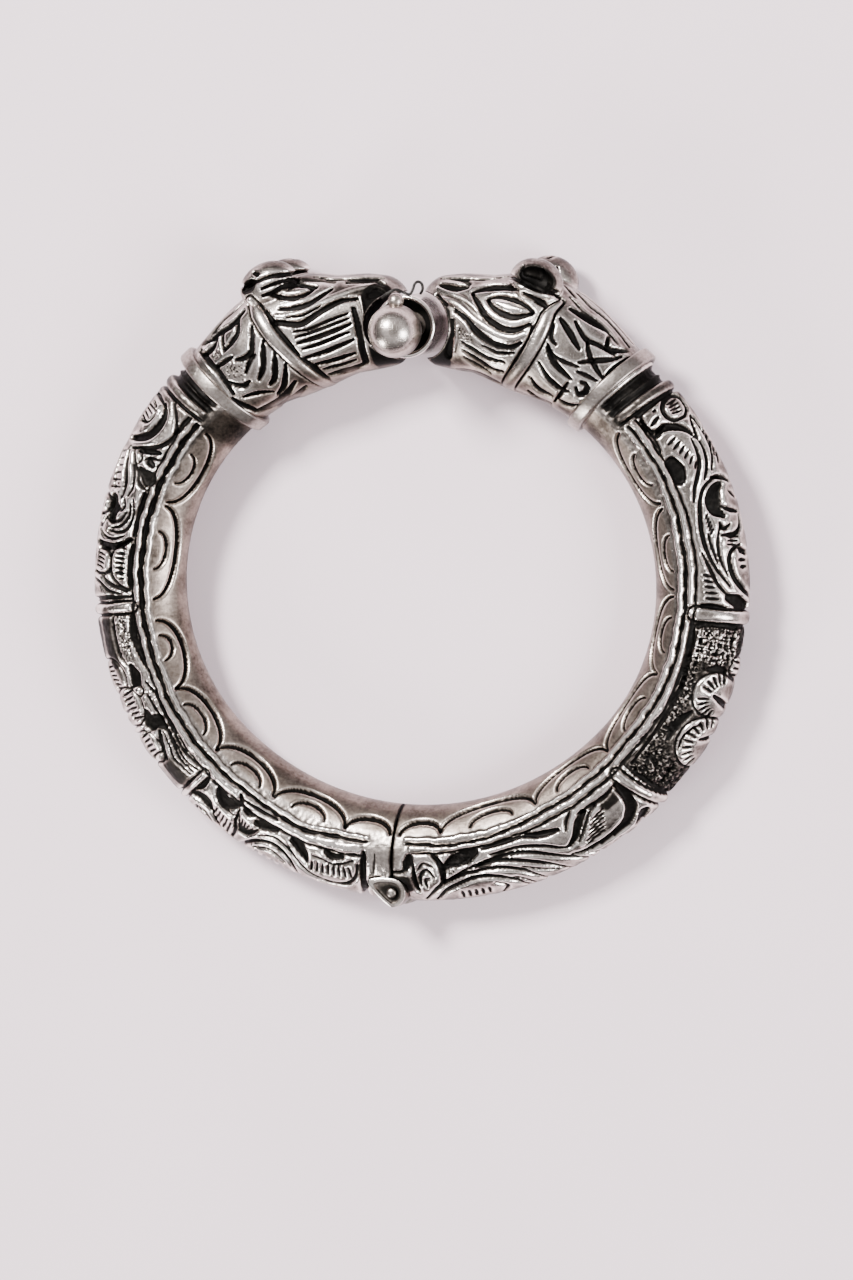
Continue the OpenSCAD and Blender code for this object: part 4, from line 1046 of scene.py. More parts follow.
def carve_left_head(sheet):
    """Grooves and ridges of the left head, read along delta and rho."""
    # strap behind the cheek
    strap = [(26.2, 7.0), (25.9, 5), (25.5, 3), (24.9, 1), (24, -1), (22.9, -3),
             (21.5, -5), (20.3, -6.8)]
    # mane between strap and collar
    sheet.hollow([(38.2, 5.2), (37.6, 3), (37.2, 0.6), (37.6, -2)], [0.45, 0.5, 0.5, 0.4])
    sheet.hollow([(38.6, -2.6), (36.8, -5.0)], [0.5, 0.5])
    head_lines(sheet, (
        (((38.6, 6.9), (35, 7.2), (31, 7.9), (28.5, 8.3)), 0.26),
        (((36.8, 6.2), (34.2, 6.4), (31.5, 7.1), (29.4, 7.6)), 0.3),
        (((37.6, 6.0), (35.8, 5.5), (33.6, 5.6), (31, 5.4), (28, 6.2)), 0.5),
        (((38.4, 4.9), (37.2, 4.4), (35.8, 4.4), (34.4, 5.0)), 0.4),
        (((34.2, 3.1), (32.4, 3.4), (30.6, 4.0), (29.4, 5.4)), 0.45),
        (((34.2, 3.2), (33.4, 4.6), (32.6, 5.4)), 0.26),
        (((37.3, 2.1), (35.2, 1.9), (33.4, 1.8)), 0.34),
        (((33.2, 1.2), (31.6, 0.8), (29.9, 0.9), (28.6, 2.2), (27.6, 3.8)), 0.5),
        (((36.8, -0.6), (36, -1.4), (34.8, -2.1), (33.2, -2.1)), 0.44),
        (((32.8, -0.9), (31, 0.0), (29.4, 0.4)), 0.34),
        (((31.4, -2.6), (29.4, -1.6), (27.6, 0.4), (26.8, 1.4)), 0.5),
        (((30.2, -3.9), (28.4, -3.4), (26.8, -1.9), (25.8, -0.6)), 0.5),
        (((30.4, -5.4), (28, -4.9), (26.2, -3.8), (25, -2.6)), 0.42),
        (((36.4, -3.2), (33, -4.0), (30.6, -4.8)), 0.3),
        (((37, -5.4), (33, -5.9), (29, -5.9), (25.2, -5.0)), 0.4),
        (((33, -6.4), (28, -6.5), (24, -6.1)), 0.26)))
    sheet.ridge([(38.2, 5.3), (36.9, 4.9), (35.6, 5.3)], [0.3, 0.4, 0.3], 0.2)
    sheet.pits([(36.6, 1), (34.6, 0.6), (33.2, -0.6)], 0.9, 34, 0.13, 0.22)
    sheet.pits([(36, 3.6), (35, 3.2)], 0.6, 12, 0.13, 0.22)
    # face
    head_lines(sheet, (
        (((26.6, 8.7), (22, 8.7), (19.4, 8.2), (17, 7.6), (14, 6.7), (12, 5.9)), 0.3),
        (((23.6, 7.6), (20.5, 7.5), (18, 7.1), (15, 6.3), (12.6, 5.5)), 0.3),
        (((23.9, 6.7), (22, 6.5), (20.4, 6.7), (18.6, 6.5), (17, 5.9), (15.4, 5.4)), 0.42),
        (((22.6, 6.2), (20.6, 5.4), (18.6, 4.9), (16.8, 5.0), (15.5, 5.4)), 0.34),
        (((21.9, 4.3), (20, 3.8), (17, 3.6), (14.6, 4.2), (13, 4.7)), 0.42),
        (((24.3, 4.7), (23.6, 3.0), (22.4, 2.5), (20.6, 1.8), (19, 1.45), (17, 1.8),
          (14, 2.5), (11.4, 2.95), (9, 2.8)), 0.5),
        (((24, 3.2), (23.2, 1), (22.2, -1), (21.6, -2.2)), 0.4),
        (((20.9, 0.9), (18, 0.45), (14, 0.8), (10.6, 1.2)), 0.2),
        (((21, 0.1), (17.6, -0.05), (13.6, 0.2), (10.6, 0.55)), 0.2),
        (((21, -0.75), (17, -0.85), (13, -0.6), (10.4, -0.2)), 0.36),
        (((20.6, -1.7), (16.6, -1.75), (11, -1.25)), 0.2),
        (((21, -2.85), (16.8, -3.0), (12.4, -2.6), (10.5, -2.3)), 0.34),
        (((19.4, -4.1), (15.6, -4.35), (11, -4.1)), 0.34),
        (((18.6, -5.0), (14.6, -5.15), (11.4, -4.9)), 0.2),
        (((18.2, -5.85), (13.4, -5.95), (9.8, -5.6)), 0.34),
        (((21.2, 2.9), (18.4, 2.45), (15, 2.9)), 0.14),
        (((10.6, 5.15), (8, 5.0), (6, 4.8), (4.6, 4.2)), 0.3)))
    sheet.hollow([(21.3, -2.9), (20.1, -4.4), (19.0, -6.2)], [0.25, 0.6, 0.4])
    sheet.hollow([(9.5, 1.6), (9.2, -0.4), (9.2, -2.6), (9.6, -5.2)], [0.35, 0.5, 0.55, 0.6])
    sheet.hollow([(6.6, 3.0), (5.6, 3.2), (4.6, 3.0)], [0.5, 0.7, 0.4])
    sheet.ridge([(20.4, 5.9), (18.8, 5.7), (17.0, 5.4)], [0.3, 0.5, 0.25], 0.22)
    sheet.ridge([(23, 3.6), (20, 2.7), (17, 2.7), (13.6, 3.4), (9.6, 4.0), (6, 4.2)],
                [0.3, 0.5, 0.55, 0.5, 0.45, 0.3], 0.2)
    sheet.ridge([(8.3, 3.0), (7.9, 1.6), (7.9, -0.4), (8.1, -2.2)], [0.2, 0.25, 0.25, 0.2], 0.2)
    for spot in ((27.0, 9.5), (24.6, 9.2), (23.8, 9.9)):
        sheet.hollow([spot, (spot[0] - 0.4, spot[1] - 0.3)], [0.3, 0.4])
    sheet.stain([(5.4, -6.6), (5.2, -3), (5.2, 0), (5.6, 2.6)], [2.1, 2.1, 2.1, 1.9], 0.8)
    sheet.ribbon(strap, [0.5] + [0.92] * 7, 0.35, 0.3, 0.26)


def carve_right_head(sheet):
    """Grooves and ridges of the right head, read along delta and rho."""
    strap = [(26.2, 6.6), (25.5, 5.0), (25.7, 3), (25.6, 0.5), (25.1, -2), (24.2, -4), (23, -6),
             (22.2, -7.2)]
    head_lines(sheet, (
        (((28, 6.55), (31, 6.5), (35, 6.45)), 0.42),
        (((27.6, 5.0), (29, 4.5), (31, 3.7), (33, 2.9)), 0.44),
        (((29.8, 5.6), (31.4, 4.9), (33, 4.4), (35, 4.6), (38, 4.7)), 0.3),
        (((27.2, 4.0), (27.8, 2.4), (29.2, 1.9)), 0.26),
        (((27.8, 1.4), (29.6, 0.5), (32, 0.5), (34.6, 0.9)), 0.3),
        (((28, 0.9), (30, -0.2), (32.4, -0.7), (34.6, -1.0)), 0.5),
        (((27.8, -1.3), (30.6, -2.5), (34, -2.9), (35.4, -2.6)), 0.44),
        (((27.3, -3.7), (29.6, -4.6), (32.8, -4.5)), 0.44),
        (((27.6, -5.6), (30, -6.0), (33, -5.6)), 0.3),
        (((33.4, 4.2), (34.6, 3.2), (36, 2.5), (38, 1.8), (39.2, 1.6)), 0.36),
        (((34.2, 1.4), (36, 2.6), (38.2, 4.1), (39, 5.0)), 0.36),
        (((35.4, 5.9), (36.6, 4.9), (38.2, 5.4), (39.2, 6)), 0.3),
        (((34.8, 0.3), (36.2, 0.5), (38.6, 0.8)), 0.26),
        (((36.4, -0.6), (37.6, -0.5), (38.2, -1.4), (37.2, -2.2), (36.3, -1.6)), 0.5),
        (((34.4, -1.6), (34.2, -3.6), (33.6, -5)), 0.26),
        (((34.2, -4.4), (36.6, -4.2), (38.4, -3.4)), 0.3),
        (((24, -6.6), (28, -6.5), (33, -6.0)), 0.26)))
    sheet.hollow([(40.0, 5.2), (39.4, 3), (39.6, 0), (38.8, -3), (38.4, -5)], [0.35, 0.35, 0.4, 0.35, 0.3])
    head_lines(sheet, (
        (((12, 6.6), (16, 7.2), (19, 7.2), (25.6, 7.1)), 0.3),
        (((11.6, 4.1), (14, 5.0), (17, 5.75), (19.2, 6.0)), 0.42),
        (((20.4, 5.95), (23, 5.75), (25.3, 5.5)), 0.36),
        (((14.7, 3.8), (16.6, 4.5), (19.2, 4.75), (21.6, 4.6), (23.2, 4.2)), 0.3),
        (((14.7, 3.7), (16.2, 2.95), (18.6, 2.6), (20.8, 2.9), (23, 4.0)), 0.46),
        (((11.6, 3.9), (13.4, 2.8), (15.4, 1.6), (17.6, 1.0), (19.6, 0.9), (21.6, 1.4),
          (23.4, 2.7)), 0.5),
        (((9.4, 1.4), (12, 0.6), (14, -0.5), (16.6, -1.3), (19, -1.55), (21.6, -1.1),
          (23.2, 0.0)), 0.62),
        (((5.2, 3.0), (6.4, 2.3), (7.6, 1.9)), 0.3),
        (((5.4, 4.2), (8.2, 4.1), (10.4, 4.5)), 0.5),
        (((10.6, 4.9), (9, 5.3), (6.4, 5.2)), 0.3),
        (((11.6, -2.5), (14, -3.0), (17.6, -3.6), (21.2, -3.3)), 0.32),
        (((12.2, -3.5), (15.4, -4.2), (19, -4.85), (21.4, -4.6)), 0.36),
        (((12.4, -4.4), (15.4, -5.0), (18.6, -5.5)), 0.26),
        (((10, -6.4), (15, -6.2), (20.6, -6.4)), 0.32),
        (((23.9, 2.6), (24.3, 1.0), (24.0, -0.6), (23.4, -2.4), (22.6, -4.2)), 0.3),
        (((16, -2.2), (19.6, -2.4), (22.6, -1.6)), 0.2)))
    sheet.hollow([(9.0, 0.0), (9.2, -2), (8.8, -4.4)], [0.4, 0.5, 0.7])
    sheet.pits([(11, -1), (13.4, -1.6)], 0.6, 22, 0.14, 0.22)
    sheet.ridge([(20.9, 3.9), (18.8, 3.7), (16.6, 3.7)], [0.3, 0.62, 0.3], 0.24)
    sheet.ridge([(6, 2.6), (9.4, 2.2), (13, 0.9), (16, 0.15), (19, -0.2), (21.6, 0.2), (23.4, 1.4)],
                [0.3, 0.5, 0.5, 0.55, 0.55, 0.5, 0.3], 0.22)
    sheet.ridge([(5, 3.8), (8.6, 3.3), (11, 2.9), (13.6, 2.1), (16, 1.65)], [0.3, 0.35, 0.35, 0.3, 0.2],
                0.14)
    sheet.ridge([(10.3, -0.6), (10.5, -2.2), (10.2, -3.8)], [0.2, 0.22, 0.2], 0.16)
    sheet.hollow([(19.6, 7.9), (22, 7.8), (24.8, 7.6)], [0.3, 0.5, 0.4])
    sheet.hollow([(22.4, 8.2), (21.8, 9.5)], [0.5, 0.3])
    sheet.hollow([(19.2, 8.2), (18.9, 9.2)], [0.3, 0.2])
    sheet.ridge([(23.3, 7.8), (24.3, 7.8)], [0.3, 0.3], 0.25)
    sheet.stain([(6.6, -5), (6.8, -2), (6.8, 0.4)], [2.0, 2.0, 1.4], 0.75)
    sheet.ribbon(strap, [0.3, 0.8, 0.95, 1, 1, 1, 1, 1], 0.35, 0.3, 0.26)


def mouth_gap(side, at):
    """Distance of each point from the slot between the jaws."""
    back = at[:, 0] - (CLASP[0] - side * MOUTH_BACK)
    back = np.where(back * side < 0, back, 0)
    return np.hypot(back, at[:, 1] - CLASP[1]) - MOUTH_R


def ear_shade(side, delta, rho, z):
    """The share of its shine that each point keeps by the hollows of the ears."""
    kept = 1.0
    for hollow_delta, hollow_rho, up, along, out, across in EAR_HOLLOWS[side]:
        off = np.sqrt(((delta - hollow_delta) * HEAD_MM / along) ** 2
                      + ((rho - hollow_rho) / out) ** 2 + ((np.abs(z) - up) / across) ** 2)
        kept = kept * (1 - HOLLOW_LOSS * ramp((1.2 - off) / 0.25))
    return kept


def head_piece(side, name, body, node, material):
    """A head's skin, raised by the cheek's sheet and, where it faces outwards, the crown's."""
    form = head_form(side)
    at = read_vectors(form.data.vertices, "co")
    normal = read_vectors(form.data.vertex_normals, "vector")
    faces = [tuple(p.vertices) for p in form.data.polygons]
    bpy.data.objects.remove(form)
    x, y, z = at[:, 0] - ARC_C[0, 0], at[:, 1] - ARC_C[0, 1], at[:, 2]
    far = np.hypot(x, y)
    delta, rho = np.degrees(np.arctan2(-x * side, y)), far - WIDE_R
    along = delta * HEAD_MM
    inward = -(normal[:, 0] * x + normal[:, 1] * y) / far
    crowned = ramp((-inward - 0.76) / 0.14)
    from_mouth = mouth_gap(side, at)
    keep = ramp((from_mouth - MOUTH_EDGE) / 0.25) * (1 - 0.8 * ramp((inward - 0.75) / 0.2))
    cheek = head_sheet(carve_left_head if side == LEFT else carve_right_head)
    crown = head_sheet(carve_crown)
    height = cheek.read(along, rho) * (1 - crowned) + crown.read(along, z) * crowned
    bright = (cheek.read(along, rho, cheek.shine()) * (1 - crowned)
              + crown.read(along, z, crown.shine()) * crowned)
    bright = (SKIN_SHINE + (bright - SKIN_SHINE) * keep) * ear_shade(side, delta, rho, z)
    # The slot between the jaws is painted near black, as shade round the barrel
    bright = np.where(from_mouth < MOUTH_EDGE, MOUTH_PAINTED_SHADE, bright)
    flank = ramp((inward - 0.15) / 0.5)
    # Painted shade on faces turned towards the ring's middle and on faces turned outwards
    bright = bright - 0.12 * flank - 0.15 * ramp((-inward - 0.1) / 0.7)
    at = at + normal * (height * keep)[:, None]
    return make_piece(name, (at, faces, bright), body, [node], material, flank)


# Turned and bent parts
# Radius that stands for a turned form's own axis
AXIS_R = 0.0005


def lathe(profile, middle, sides=96, capped=True):
    """A turned form, closed by caps if capped. profile lists radius, height and shine."""
    turns = [2 * math.pi * k / sides for k in range(sides)]
    points = [(middle[0] + r * math.cos(turn), middle[1] + r * math.sin(turn), z)
              for r, z, _ in profile for turn in turns]
    faces = loop_faces(len(profile), sides)
    if capped:
        last = (len(profile) - 1) * sides
        faces.append(tuple(range(sides))[::-1])
        faces.append(tuple(range(last, last + sides)))
    return points, faces, [bright for _, _, bright in profile for _ in turns]


def arc_profile(centre_r, centre_z, radius, start, end, bright, count):
    """Rows of a lathe profile along a round edge."""
    return [(max(centre_r + radius * math.cos(math.radians(t)), AXIS_R),
             centre_z + radius * math.sin(math.radians(t)), bright)
            for t in np.linspace(start, end, count)]


def bent_wire_tree():
    """Geometry nodes that sweep a round wire along a line of points."""
    tree = bpy.data.node_groups.new("bent_wire", "GeometryNodeTree")
    for label, way, kind, value in (("Line", "INPUT", "Geometry", None),
                                    ("Wire radius", "INPUT", "Float", 0.0002),
                                    ("Sides", "INPUT", "Int", 12),
                                    ("Smoothing", "INPUT", "Int", 3),
                                    ("Finish", "INPUT", "Material", None),
                                    ("Wire", "OUTPUT", "Geometry", None)):
        socket = tree.interface.new_socket(label, in_out=way, socket_type="NodeSocket" + kind)
        if value is not None:
            socket.default_value = value
    start, end, curve, soft, fine, ring, sweep, real, paint = (
        tree.nodes.new(kind) for kind in (
            "NodeGroupInput", "NodeGroupOutput", "GeometryNodeMeshToCurve",
            "GeometryNodeCurveSplineType", "GeometryNodeSetSplineResolution",
            "GeometryNodeCurvePrimitiveCircle", "GeometryNodeCurveToMesh",
            "GeometryNodeRealizeInstances", "GeometryNodeSetMaterial"))
    soft.spline_type = "CATMULL_ROM"
    sweep.inputs["Fill Caps"].default_value = True
    for source, given, target, taken in (
            (start, "Line", curve, "Mesh"), (curve, "Curve", soft, "Curve"),
            (soft, "Curve", fine, "Geometry"), (start, "Smoothing", fine, "Resolution"),
            (start, "Wire radius", ring, "Radius"), (start, "Sides", ring, "Resolution"),
            (fine, "Geometry", sweep, "Curve"), (ring, "Curve", sweep, "Profile Curve"),
            (sweep, "Mesh", real, "Geometry"), (real, "Geometry", paint, "Geometry"),
            (start, "Finish", paint, "Material"), (paint, "Geometry", end, "Wire")):
        tree.links.new(source.outputs[given], target.inputs[taken])
    return tree


def bent_wire(name, points, radius, sides, smoothing, material, tree):
    """The swept wire as points, faces and shine in millimetres."""
    line = (np.asarray(points, float) * MM).tolist()
    edges = [(i, i + 1) for i in range(len(points) - 1)]
    obj = plain_object(name, plain_mesh(name, line, [], edges))
    modifier = obj.modifiers.new("wire", "NODES")
    modifier.node_group = tree
    values = {"Wire radius": radius * MM, "Sides": sides, "Smoothing": smoothing,
              "Finish": material}
    for item in tree.interface.items_tree:
        if item.name in values:
            modifier[item.identifier] = values[item.name]
    work = bmesh.new()
    work.from_mesh(apply_all(obj))
    bmesh.ops.remove_doubles(work, verts=work.verts, dist=1e-7)
    bmesh.ops.recalc_face_normals(work, faces=work.faces)
    at = [tuple(v.co / MM) for v in work.verts]
    faces = [tuple(v.index for v in f.verts) for f in work.faces]
    work.free()
    bpy.data.objects.remove(obj)
    return at, faces, [0.85] * len(at)


def collar_piece(side, name, body, node, material):
    """The wide polished collar behind a head, leaning like the photo's."""
    foot, wall, round_along, round_up = -0.5, 0.45, 0.3, 0.35
    rubbed, foot_shade = 0.64, 0.15
    cross = [(-COLLAR_HALF, foot), (-COLLAR_HALF, wall)]
    cross += [(-COLLAR_HALF + round_along * (1 - math.cos(t)), wall + round_up * math.sin(t))
              for t in np.linspace(0.2, math.pi / 2, 6)]
    cross += [(COLLAR_HALF - round_along * (1 - math.sin(t)), wall + round_up * math.cos(t))
              for t in np.linspace(0, math.pi / 2 - 0.2, 6)]
    cross += [(COLLAR_HALF, wall), (COLLAR_HALF, foot)]
    v = np.linspace(-SECTION.half, SECTION.half, 240, endpoint=False)
    plain_out, _ = SECTION.point(v, 0)
    middle = psi_of(side, COLLAR_AT) + lean_deg(plain_out, side)
    points, shine = [], []
    for along, proud in cross:
        out, up = SECTION.point(v, proud + 0.1)
        x, y = ring_xy(middle + np.degrees(along / (WIDE_R + plain_out)), out)
        points.append(np.column_stack((x, y, up)))
        # The foot is painted dark, so the walls darken towards the band as painted shade
        shine += [rubbed if proud > 0.4 else foot_shade] * len(v)
    shape = np.vstack(points), loop_faces(len(cross), len(v), True), shine
    return make_piece(name, shape, body, [node], material, sharp=40)


def barrel():
    """Cup soldered in the right head, with a rolled rim, that the screw goes through."""
    wall_out, wall_in, bore, foot, floor, rim = 3.95, 3.45, 0.98, -4.5, 2.0, 5.55
    profile = [(bore, foot, 0.5), (2.2, foot, 0.8)]
    profile += arc_profile(wall_out - 0.35, foot + 0.35, 0.35, -90, 0, 0.85, 6)
    profile += [(wall_out, floor, 0.7), (wall_out, rim - 0.7, 0.85)]
    profile += arc_profile(wall_out - 0.2, rim - 0.33, 0.33, -50, 165, 0.95, 12)
    # The inside of the cup is painted darker with depth, as shade under the ball
    profile += [(wall_in, rim - 0.9, 0.25), (wall_in, floor + 0.3, 0.05),
                (wall_in - 0.3, floor, 0.04), (bore, floor, 0.04), (bore, foot, 0.1)]
    return lathe(profile, CLASP, capped=False)


SCREW_R = 0.78


def ball_and_screw():
    """Plain screw with a shoulder, a neck that leans a little and the ball, with painted shade underneath.
    """
    ball_r, neck_r, foot, lean, under_shade = 3.45, 1.4, -4.45, 0.38, 0.42
    start = -math.degrees(math.acos(neck_r / ball_r))
    profile = [(AXIS_R, foot, 0.5), (0.5, foot, 0.5), (SCREW_R, -4.2, 0.7), (SCREW_R, 1.1, 0.5),
               (1.7, 1.18, 0.5), (1.8, 1.28, 0.7), (1.8, 1.95, 0.7), (1.7, 2.05, 0.6),
               (1.15, 2.1, 0.4), (1.1, 4.4, 0.4), (neck_r, 4.7, 0.6), (neck_r, 6.0, 0.7)]
    profile += arc_profile(0, BALL_Z, ball_r, start, 90, 1.0, 56)
    points, faces, shine = lathe(profile, CLASP)
    # Painted shade on the lower part of the ball
    shine = [bright - under_shade * float(ramp((BALL_Z + 2.1 - z) / 2.4)) if z > 6 else bright
             for (_, _, z), bright in zip(points, shine)]
    points = [(x, y - lean * min(max((z - 4.4) / 3, 0), 1), z) for x, y, z in points]
    return points, faces, shine


# Thread: its turns, lowest point, length and wire radius
THREAD_TURNS, THREAD_LOW, THREAD_LONG, THREAD_R = 13, -4.1, 5.0, 0.11
# Upper half of the lug. Columns: radius, height, shine.
LUG = ((1.05, 0, 0.95), (0.9, 0.6, 0.95), (0.55, 0.92, 0.9), (AXIS_R, 1.0, 0.9))
LUG_XY = (0.3, 37.0)
# The ball's polish beside the other pieces, and its share of the flank's brown
BALL_POLISH, BALL_BROWN = 0.84, 0.4


def ball_screw_piece(material, wire_tree):
    """The ball and screw with their thread, and a lug for the wire."""
    spiral = [(CLASP[0] + SCREW_R * math.cos(t), CLASP[1] + SCREW_R * math.sin(t),
               THREAD_LOW + THREAD_LONG * t / (2 * math.pi * THREAD_TURNS))
              for t in np.linspace(0, 2 * math.pi * THREAD_TURNS, THREAD_TURNS * 20)]
    thread = bent_wire("thread_path", spiral, THREAD_R, 8, 1, material, wire_tree)
    under = [(r, -z, bright) for r, z, bright in LUG[:0:-1]]
    lug = lathe([(r, z + BALL_Z, bright) for r, z, bright in (*under, *LUG)], LUG_XY, 40)
    points, faces, shine = joined(ball_and_screw(), thread, lug)
    shape = points, faces, [BALL_POLISH * bright for bright in shine]
    return make_piece("ball_screw_turned", shape, "clasp_screw", ["ball_screw"], material,
                      [BALL_BROWN] * len(shine), 35)


# Keeper wire: a twisted loop past the lug. Columns: x and y from the clasp, z from the ball.
KEEPER = ((-1.6, 3.9, 0.3), (-0.7, 4.5, 0.5), (0.3, 4.95, 0.3), (1.2, 4.6, 0.0), (1.9, 4.3, -0.4),
          (2.3, 4.9, -0.6), (2.5, 5.6, -0.8), (2.9, 5.9, -1.0), (3.3, 5.6, -1.3), (3.3, 4.9, -1.6),
          (2.9, 4.3, -1.9))
KEEPER_R = 0.19


def keeper_piece(material, wire_tree):
    line = [(CLASP[0] + x, CLASP[1] + y, BALL_Z + z) for x, y, z in KEEPER]
    wire = bent_wire("keeper_path", line, KEEPER_R, 16, 8, material, wire_tree)
    return make_piece("keeper_wire_bent", wire, "clasp_screw", ["keeper_wire"], material)


KNUCKLE_R, BORE_R = 1.88, 0.76


def teardrop(side):
    """A hinge knuckle's outline, round on its pin and drawn back into the band, and its bore."""
    turn = math.radians(HINGE_PSI)
    out = np.array((math.cos(turn), math.sin(turn)))
    back = np.array((out[1], -out[0])) * side
    outer, bore = [], []
    for k in range(64):
        a = 2 * math.pi * k / 64
        tail = math.sin(a) if math.sin(a) > 0.05 else 0
        across = KNUCKLE_R * math.cos(a) * (1 - 0.45 * tail) - 1.2 * tail
        outer.append(across * out + (KNUCKLE_R * math.sin(a) + 1.5 * tail) * back)
        bore.append(BORE_R * (math.cos(a) * out + math.sin(a) * back))
    return outer, bore


def knuckle(side, low, high):
    """One knuckle with rounded rims, a sunk face and a bore."""
    outer, bore = teardrop(side)
    dish = high - 0.4
    # Tones are painted light and shade: bright upper rims, dark lower rims and bore
    rows = ((outer, 0.9, low, 0.2), (outer, 0.97, low + 0.06, 0.4), (outer, 1.0, low + 0.2, 0.6),
            (outer, 1.0, high - 0.2, 0.6), (outer, 0.97, high - 0.06, 0.85),
            (outer, 0.9, high, 0.8), (outer, 0.74, high, 0.72), (outer, 0.66, dish, 0.55),
            (bore, 1.0, dish, 0.1), (bore, 1.0, low, 0.03))
    points = [(HINGE[0] + x * share, HINGE[1] + y * share, z)
              for line, share, z, _ in rows for x, y in line]
    faces = loop_faces(len(rows), len(outer), True)
    if side == RIGHT:
        faces = [f[::-1] for f in faces]
    return points, faces, [tone for *_, tone in rows for _ in outer]


# Lower end of the riveted pin. Columns: radius, height, shine.
RIVET = ((AXIS_R, -4.0, 0.9), (0.4, -3.96, 0.7), (0.62, -3.85, 0.4), (0.7, -3.7, 0.2),
         (0.7, -3.5, 0.1), (0.7, -3.4, 0.1))


def hinge_pieces(silver, polished):
    """Two knuckles on the left band, one between them on the right band, and the pin."""
    left = joined(knuckle(LEFT, -3.7, -1.3), knuckle(LEFT, 1.3, 3.7))
    make_piece("knuckles_left", left, "left_half", ["band_left"], silver,
               sharp=40)
    make_piece("knuckle_right", knuckle(RIGHT, -1.15, 1.15), "right_half", ["band_right"], silver,
               sharp=40)
    upper = [(r, -z, bright) for r, z, bright in RIVET[::-1]]
    make_piece("hinge_pin_riveted", lathe([*RIVET, *upper], HINGE, 40), "left_half",
               ["hinge_pin"], polished, sharp=40)


def tongue():
    """Forked plate of the left head that the screw passes through."""
    half, end, back, corner, slot_r, thick = 2.3, 2.3, -4.8, 0.6, 1.15, 0.88
    shape = [(back, -half), (end - corner, -half), (end, -half + corner), (end, -slot_r)]
    shape += [(slot_r * math.cos(t), slot_r * math.sin(t))
              for t in np.linspace(-math.pi / 2, -1.5 * math.pi, 17)]
    shape += [(end, slot_r), (end, half - corner), (end - corner, half), (back, half)]
    points, faces = prism([(CLASP[0] + x, CLASP[1] + y) for x, y in shape], -thick, thick)
    return points, faces, [0.3] * len(points)


# Finishes
class Nodes:
    """A shader tree, with its nodes made in one call each."""

    def __init__(self, tree):
        self.tree = tree

    def feed(self, node, inputs):
        """Gives each input named or numbered a link, a colour or a number."""
        for key, value in inputs.items():
            socket = node.inputs[key]
            if isinstance(value, bpy.types.NodeSocket):
                self.tree.links.new(value, socket)
            elif socket.type == "RGBA":
                socket.default_value = (*value, 1)
            else:
                socket.default_value = value

    def add(self, kind, inputs=None, **settings):
        node = self.tree.nodes.new("ShaderNode" + kind)
        for label, value in settings.items():
            setattr(node, label, value)
        self.feed(node, inputs or {})
        return node

    def maths(self, operation, a, b, clamp=False):
        return self.add("Math", {0: a, 1: b}, operation=operation, use_clamp=clamp).outputs[0]

    def noise(self, vector, scale, detail, rough=0.5):
        inputs = {"Vector": vector, "Scale": scale, "Detail": detail, "Roughness": rough}
        return self.add("TexNoise", inputs).outputs["Fac"]

    def stops(self, value, table):
        """A colour ramp through the places and colours of the table."""
        node = self.add("ValToRGB", {0: value})
        band = node.color_ramp
        while len(band.elements) < len(table):
            band.elements.new(0.5)
        for element, (place, colour) in zip(band.elements, table):
            element.position = place
            element.color = (*colour, 1)
        return node.outputs[0]

    def mix(self, share, a, b, blend="MIX"):
        node = self.add("Mix", data_type="RGBA", blend_type=blend)
        self.feed(node, {0: share, 6: a, 7: b})
        return node.outputs[2]

    def remap(self, value, low, high, to_low=0.0, to_high=1.0):
        return self.add("MapRange", {"Value": value, "From Min": low, "From Max": high,
                                     "To Min": to_low, "To Max": to_high}).outputs[0]

    def place(self):
        return self.add("TexCoord").outputs["Object"]

    def bump(self, height, strength, distance):
        return self.add("Bump", {"Height": height, "Strength": strength,
                                 "Distance": distance}).outputs["Normal"]


def new_group(name, inputs, outputs):
    """A node group, its Nodes, and the ends that its inputs and outputs are on."""
    tree = bpy.data.node_groups.new(name, "ShaderNodeTree")
    for label, kind, value in inputs:
        socket = tree.interface.new_socket(label, in_out="INPUT", socket_type="NodeSocket" + kind)
        if value is not None:
            socket.default_value = value
    for label, kind in outputs:
        tree.interface.new_socket(label, in_out="OUTPUT", socket_type="NodeSocket" + kind)
    return tree, Nodes(tree), tree.nodes.new("NodeGroupInput"), tree.nodes.new("NodeGroupOutput")


def new_material(name):
    material = bpy.data.materials.new(name)
    material.use_nodes = True
    return material, Nodes(material.node_tree), material.node_tree.nodes["Principled BSDF"]


# Colour of the silver by its shine, which is how much it is rubbed together with the painted light and
# shade laid into it, and of the flank's brown film
PATINA = ((0.0, (0.004, 0.0034, 0.003)), (0.3, (0.02, 0.0172, 0.015)),
          (0.5, (0.115, 0.097, 0.086)), (0.78, (0.53, 0.465, 0.427)), (1.0, (0.95, 0.875, 0.825)))
FILM_PALE, FILM_BROWN = (0.68, 0.635, 0.6), (0.32, 0.28, 0.245)


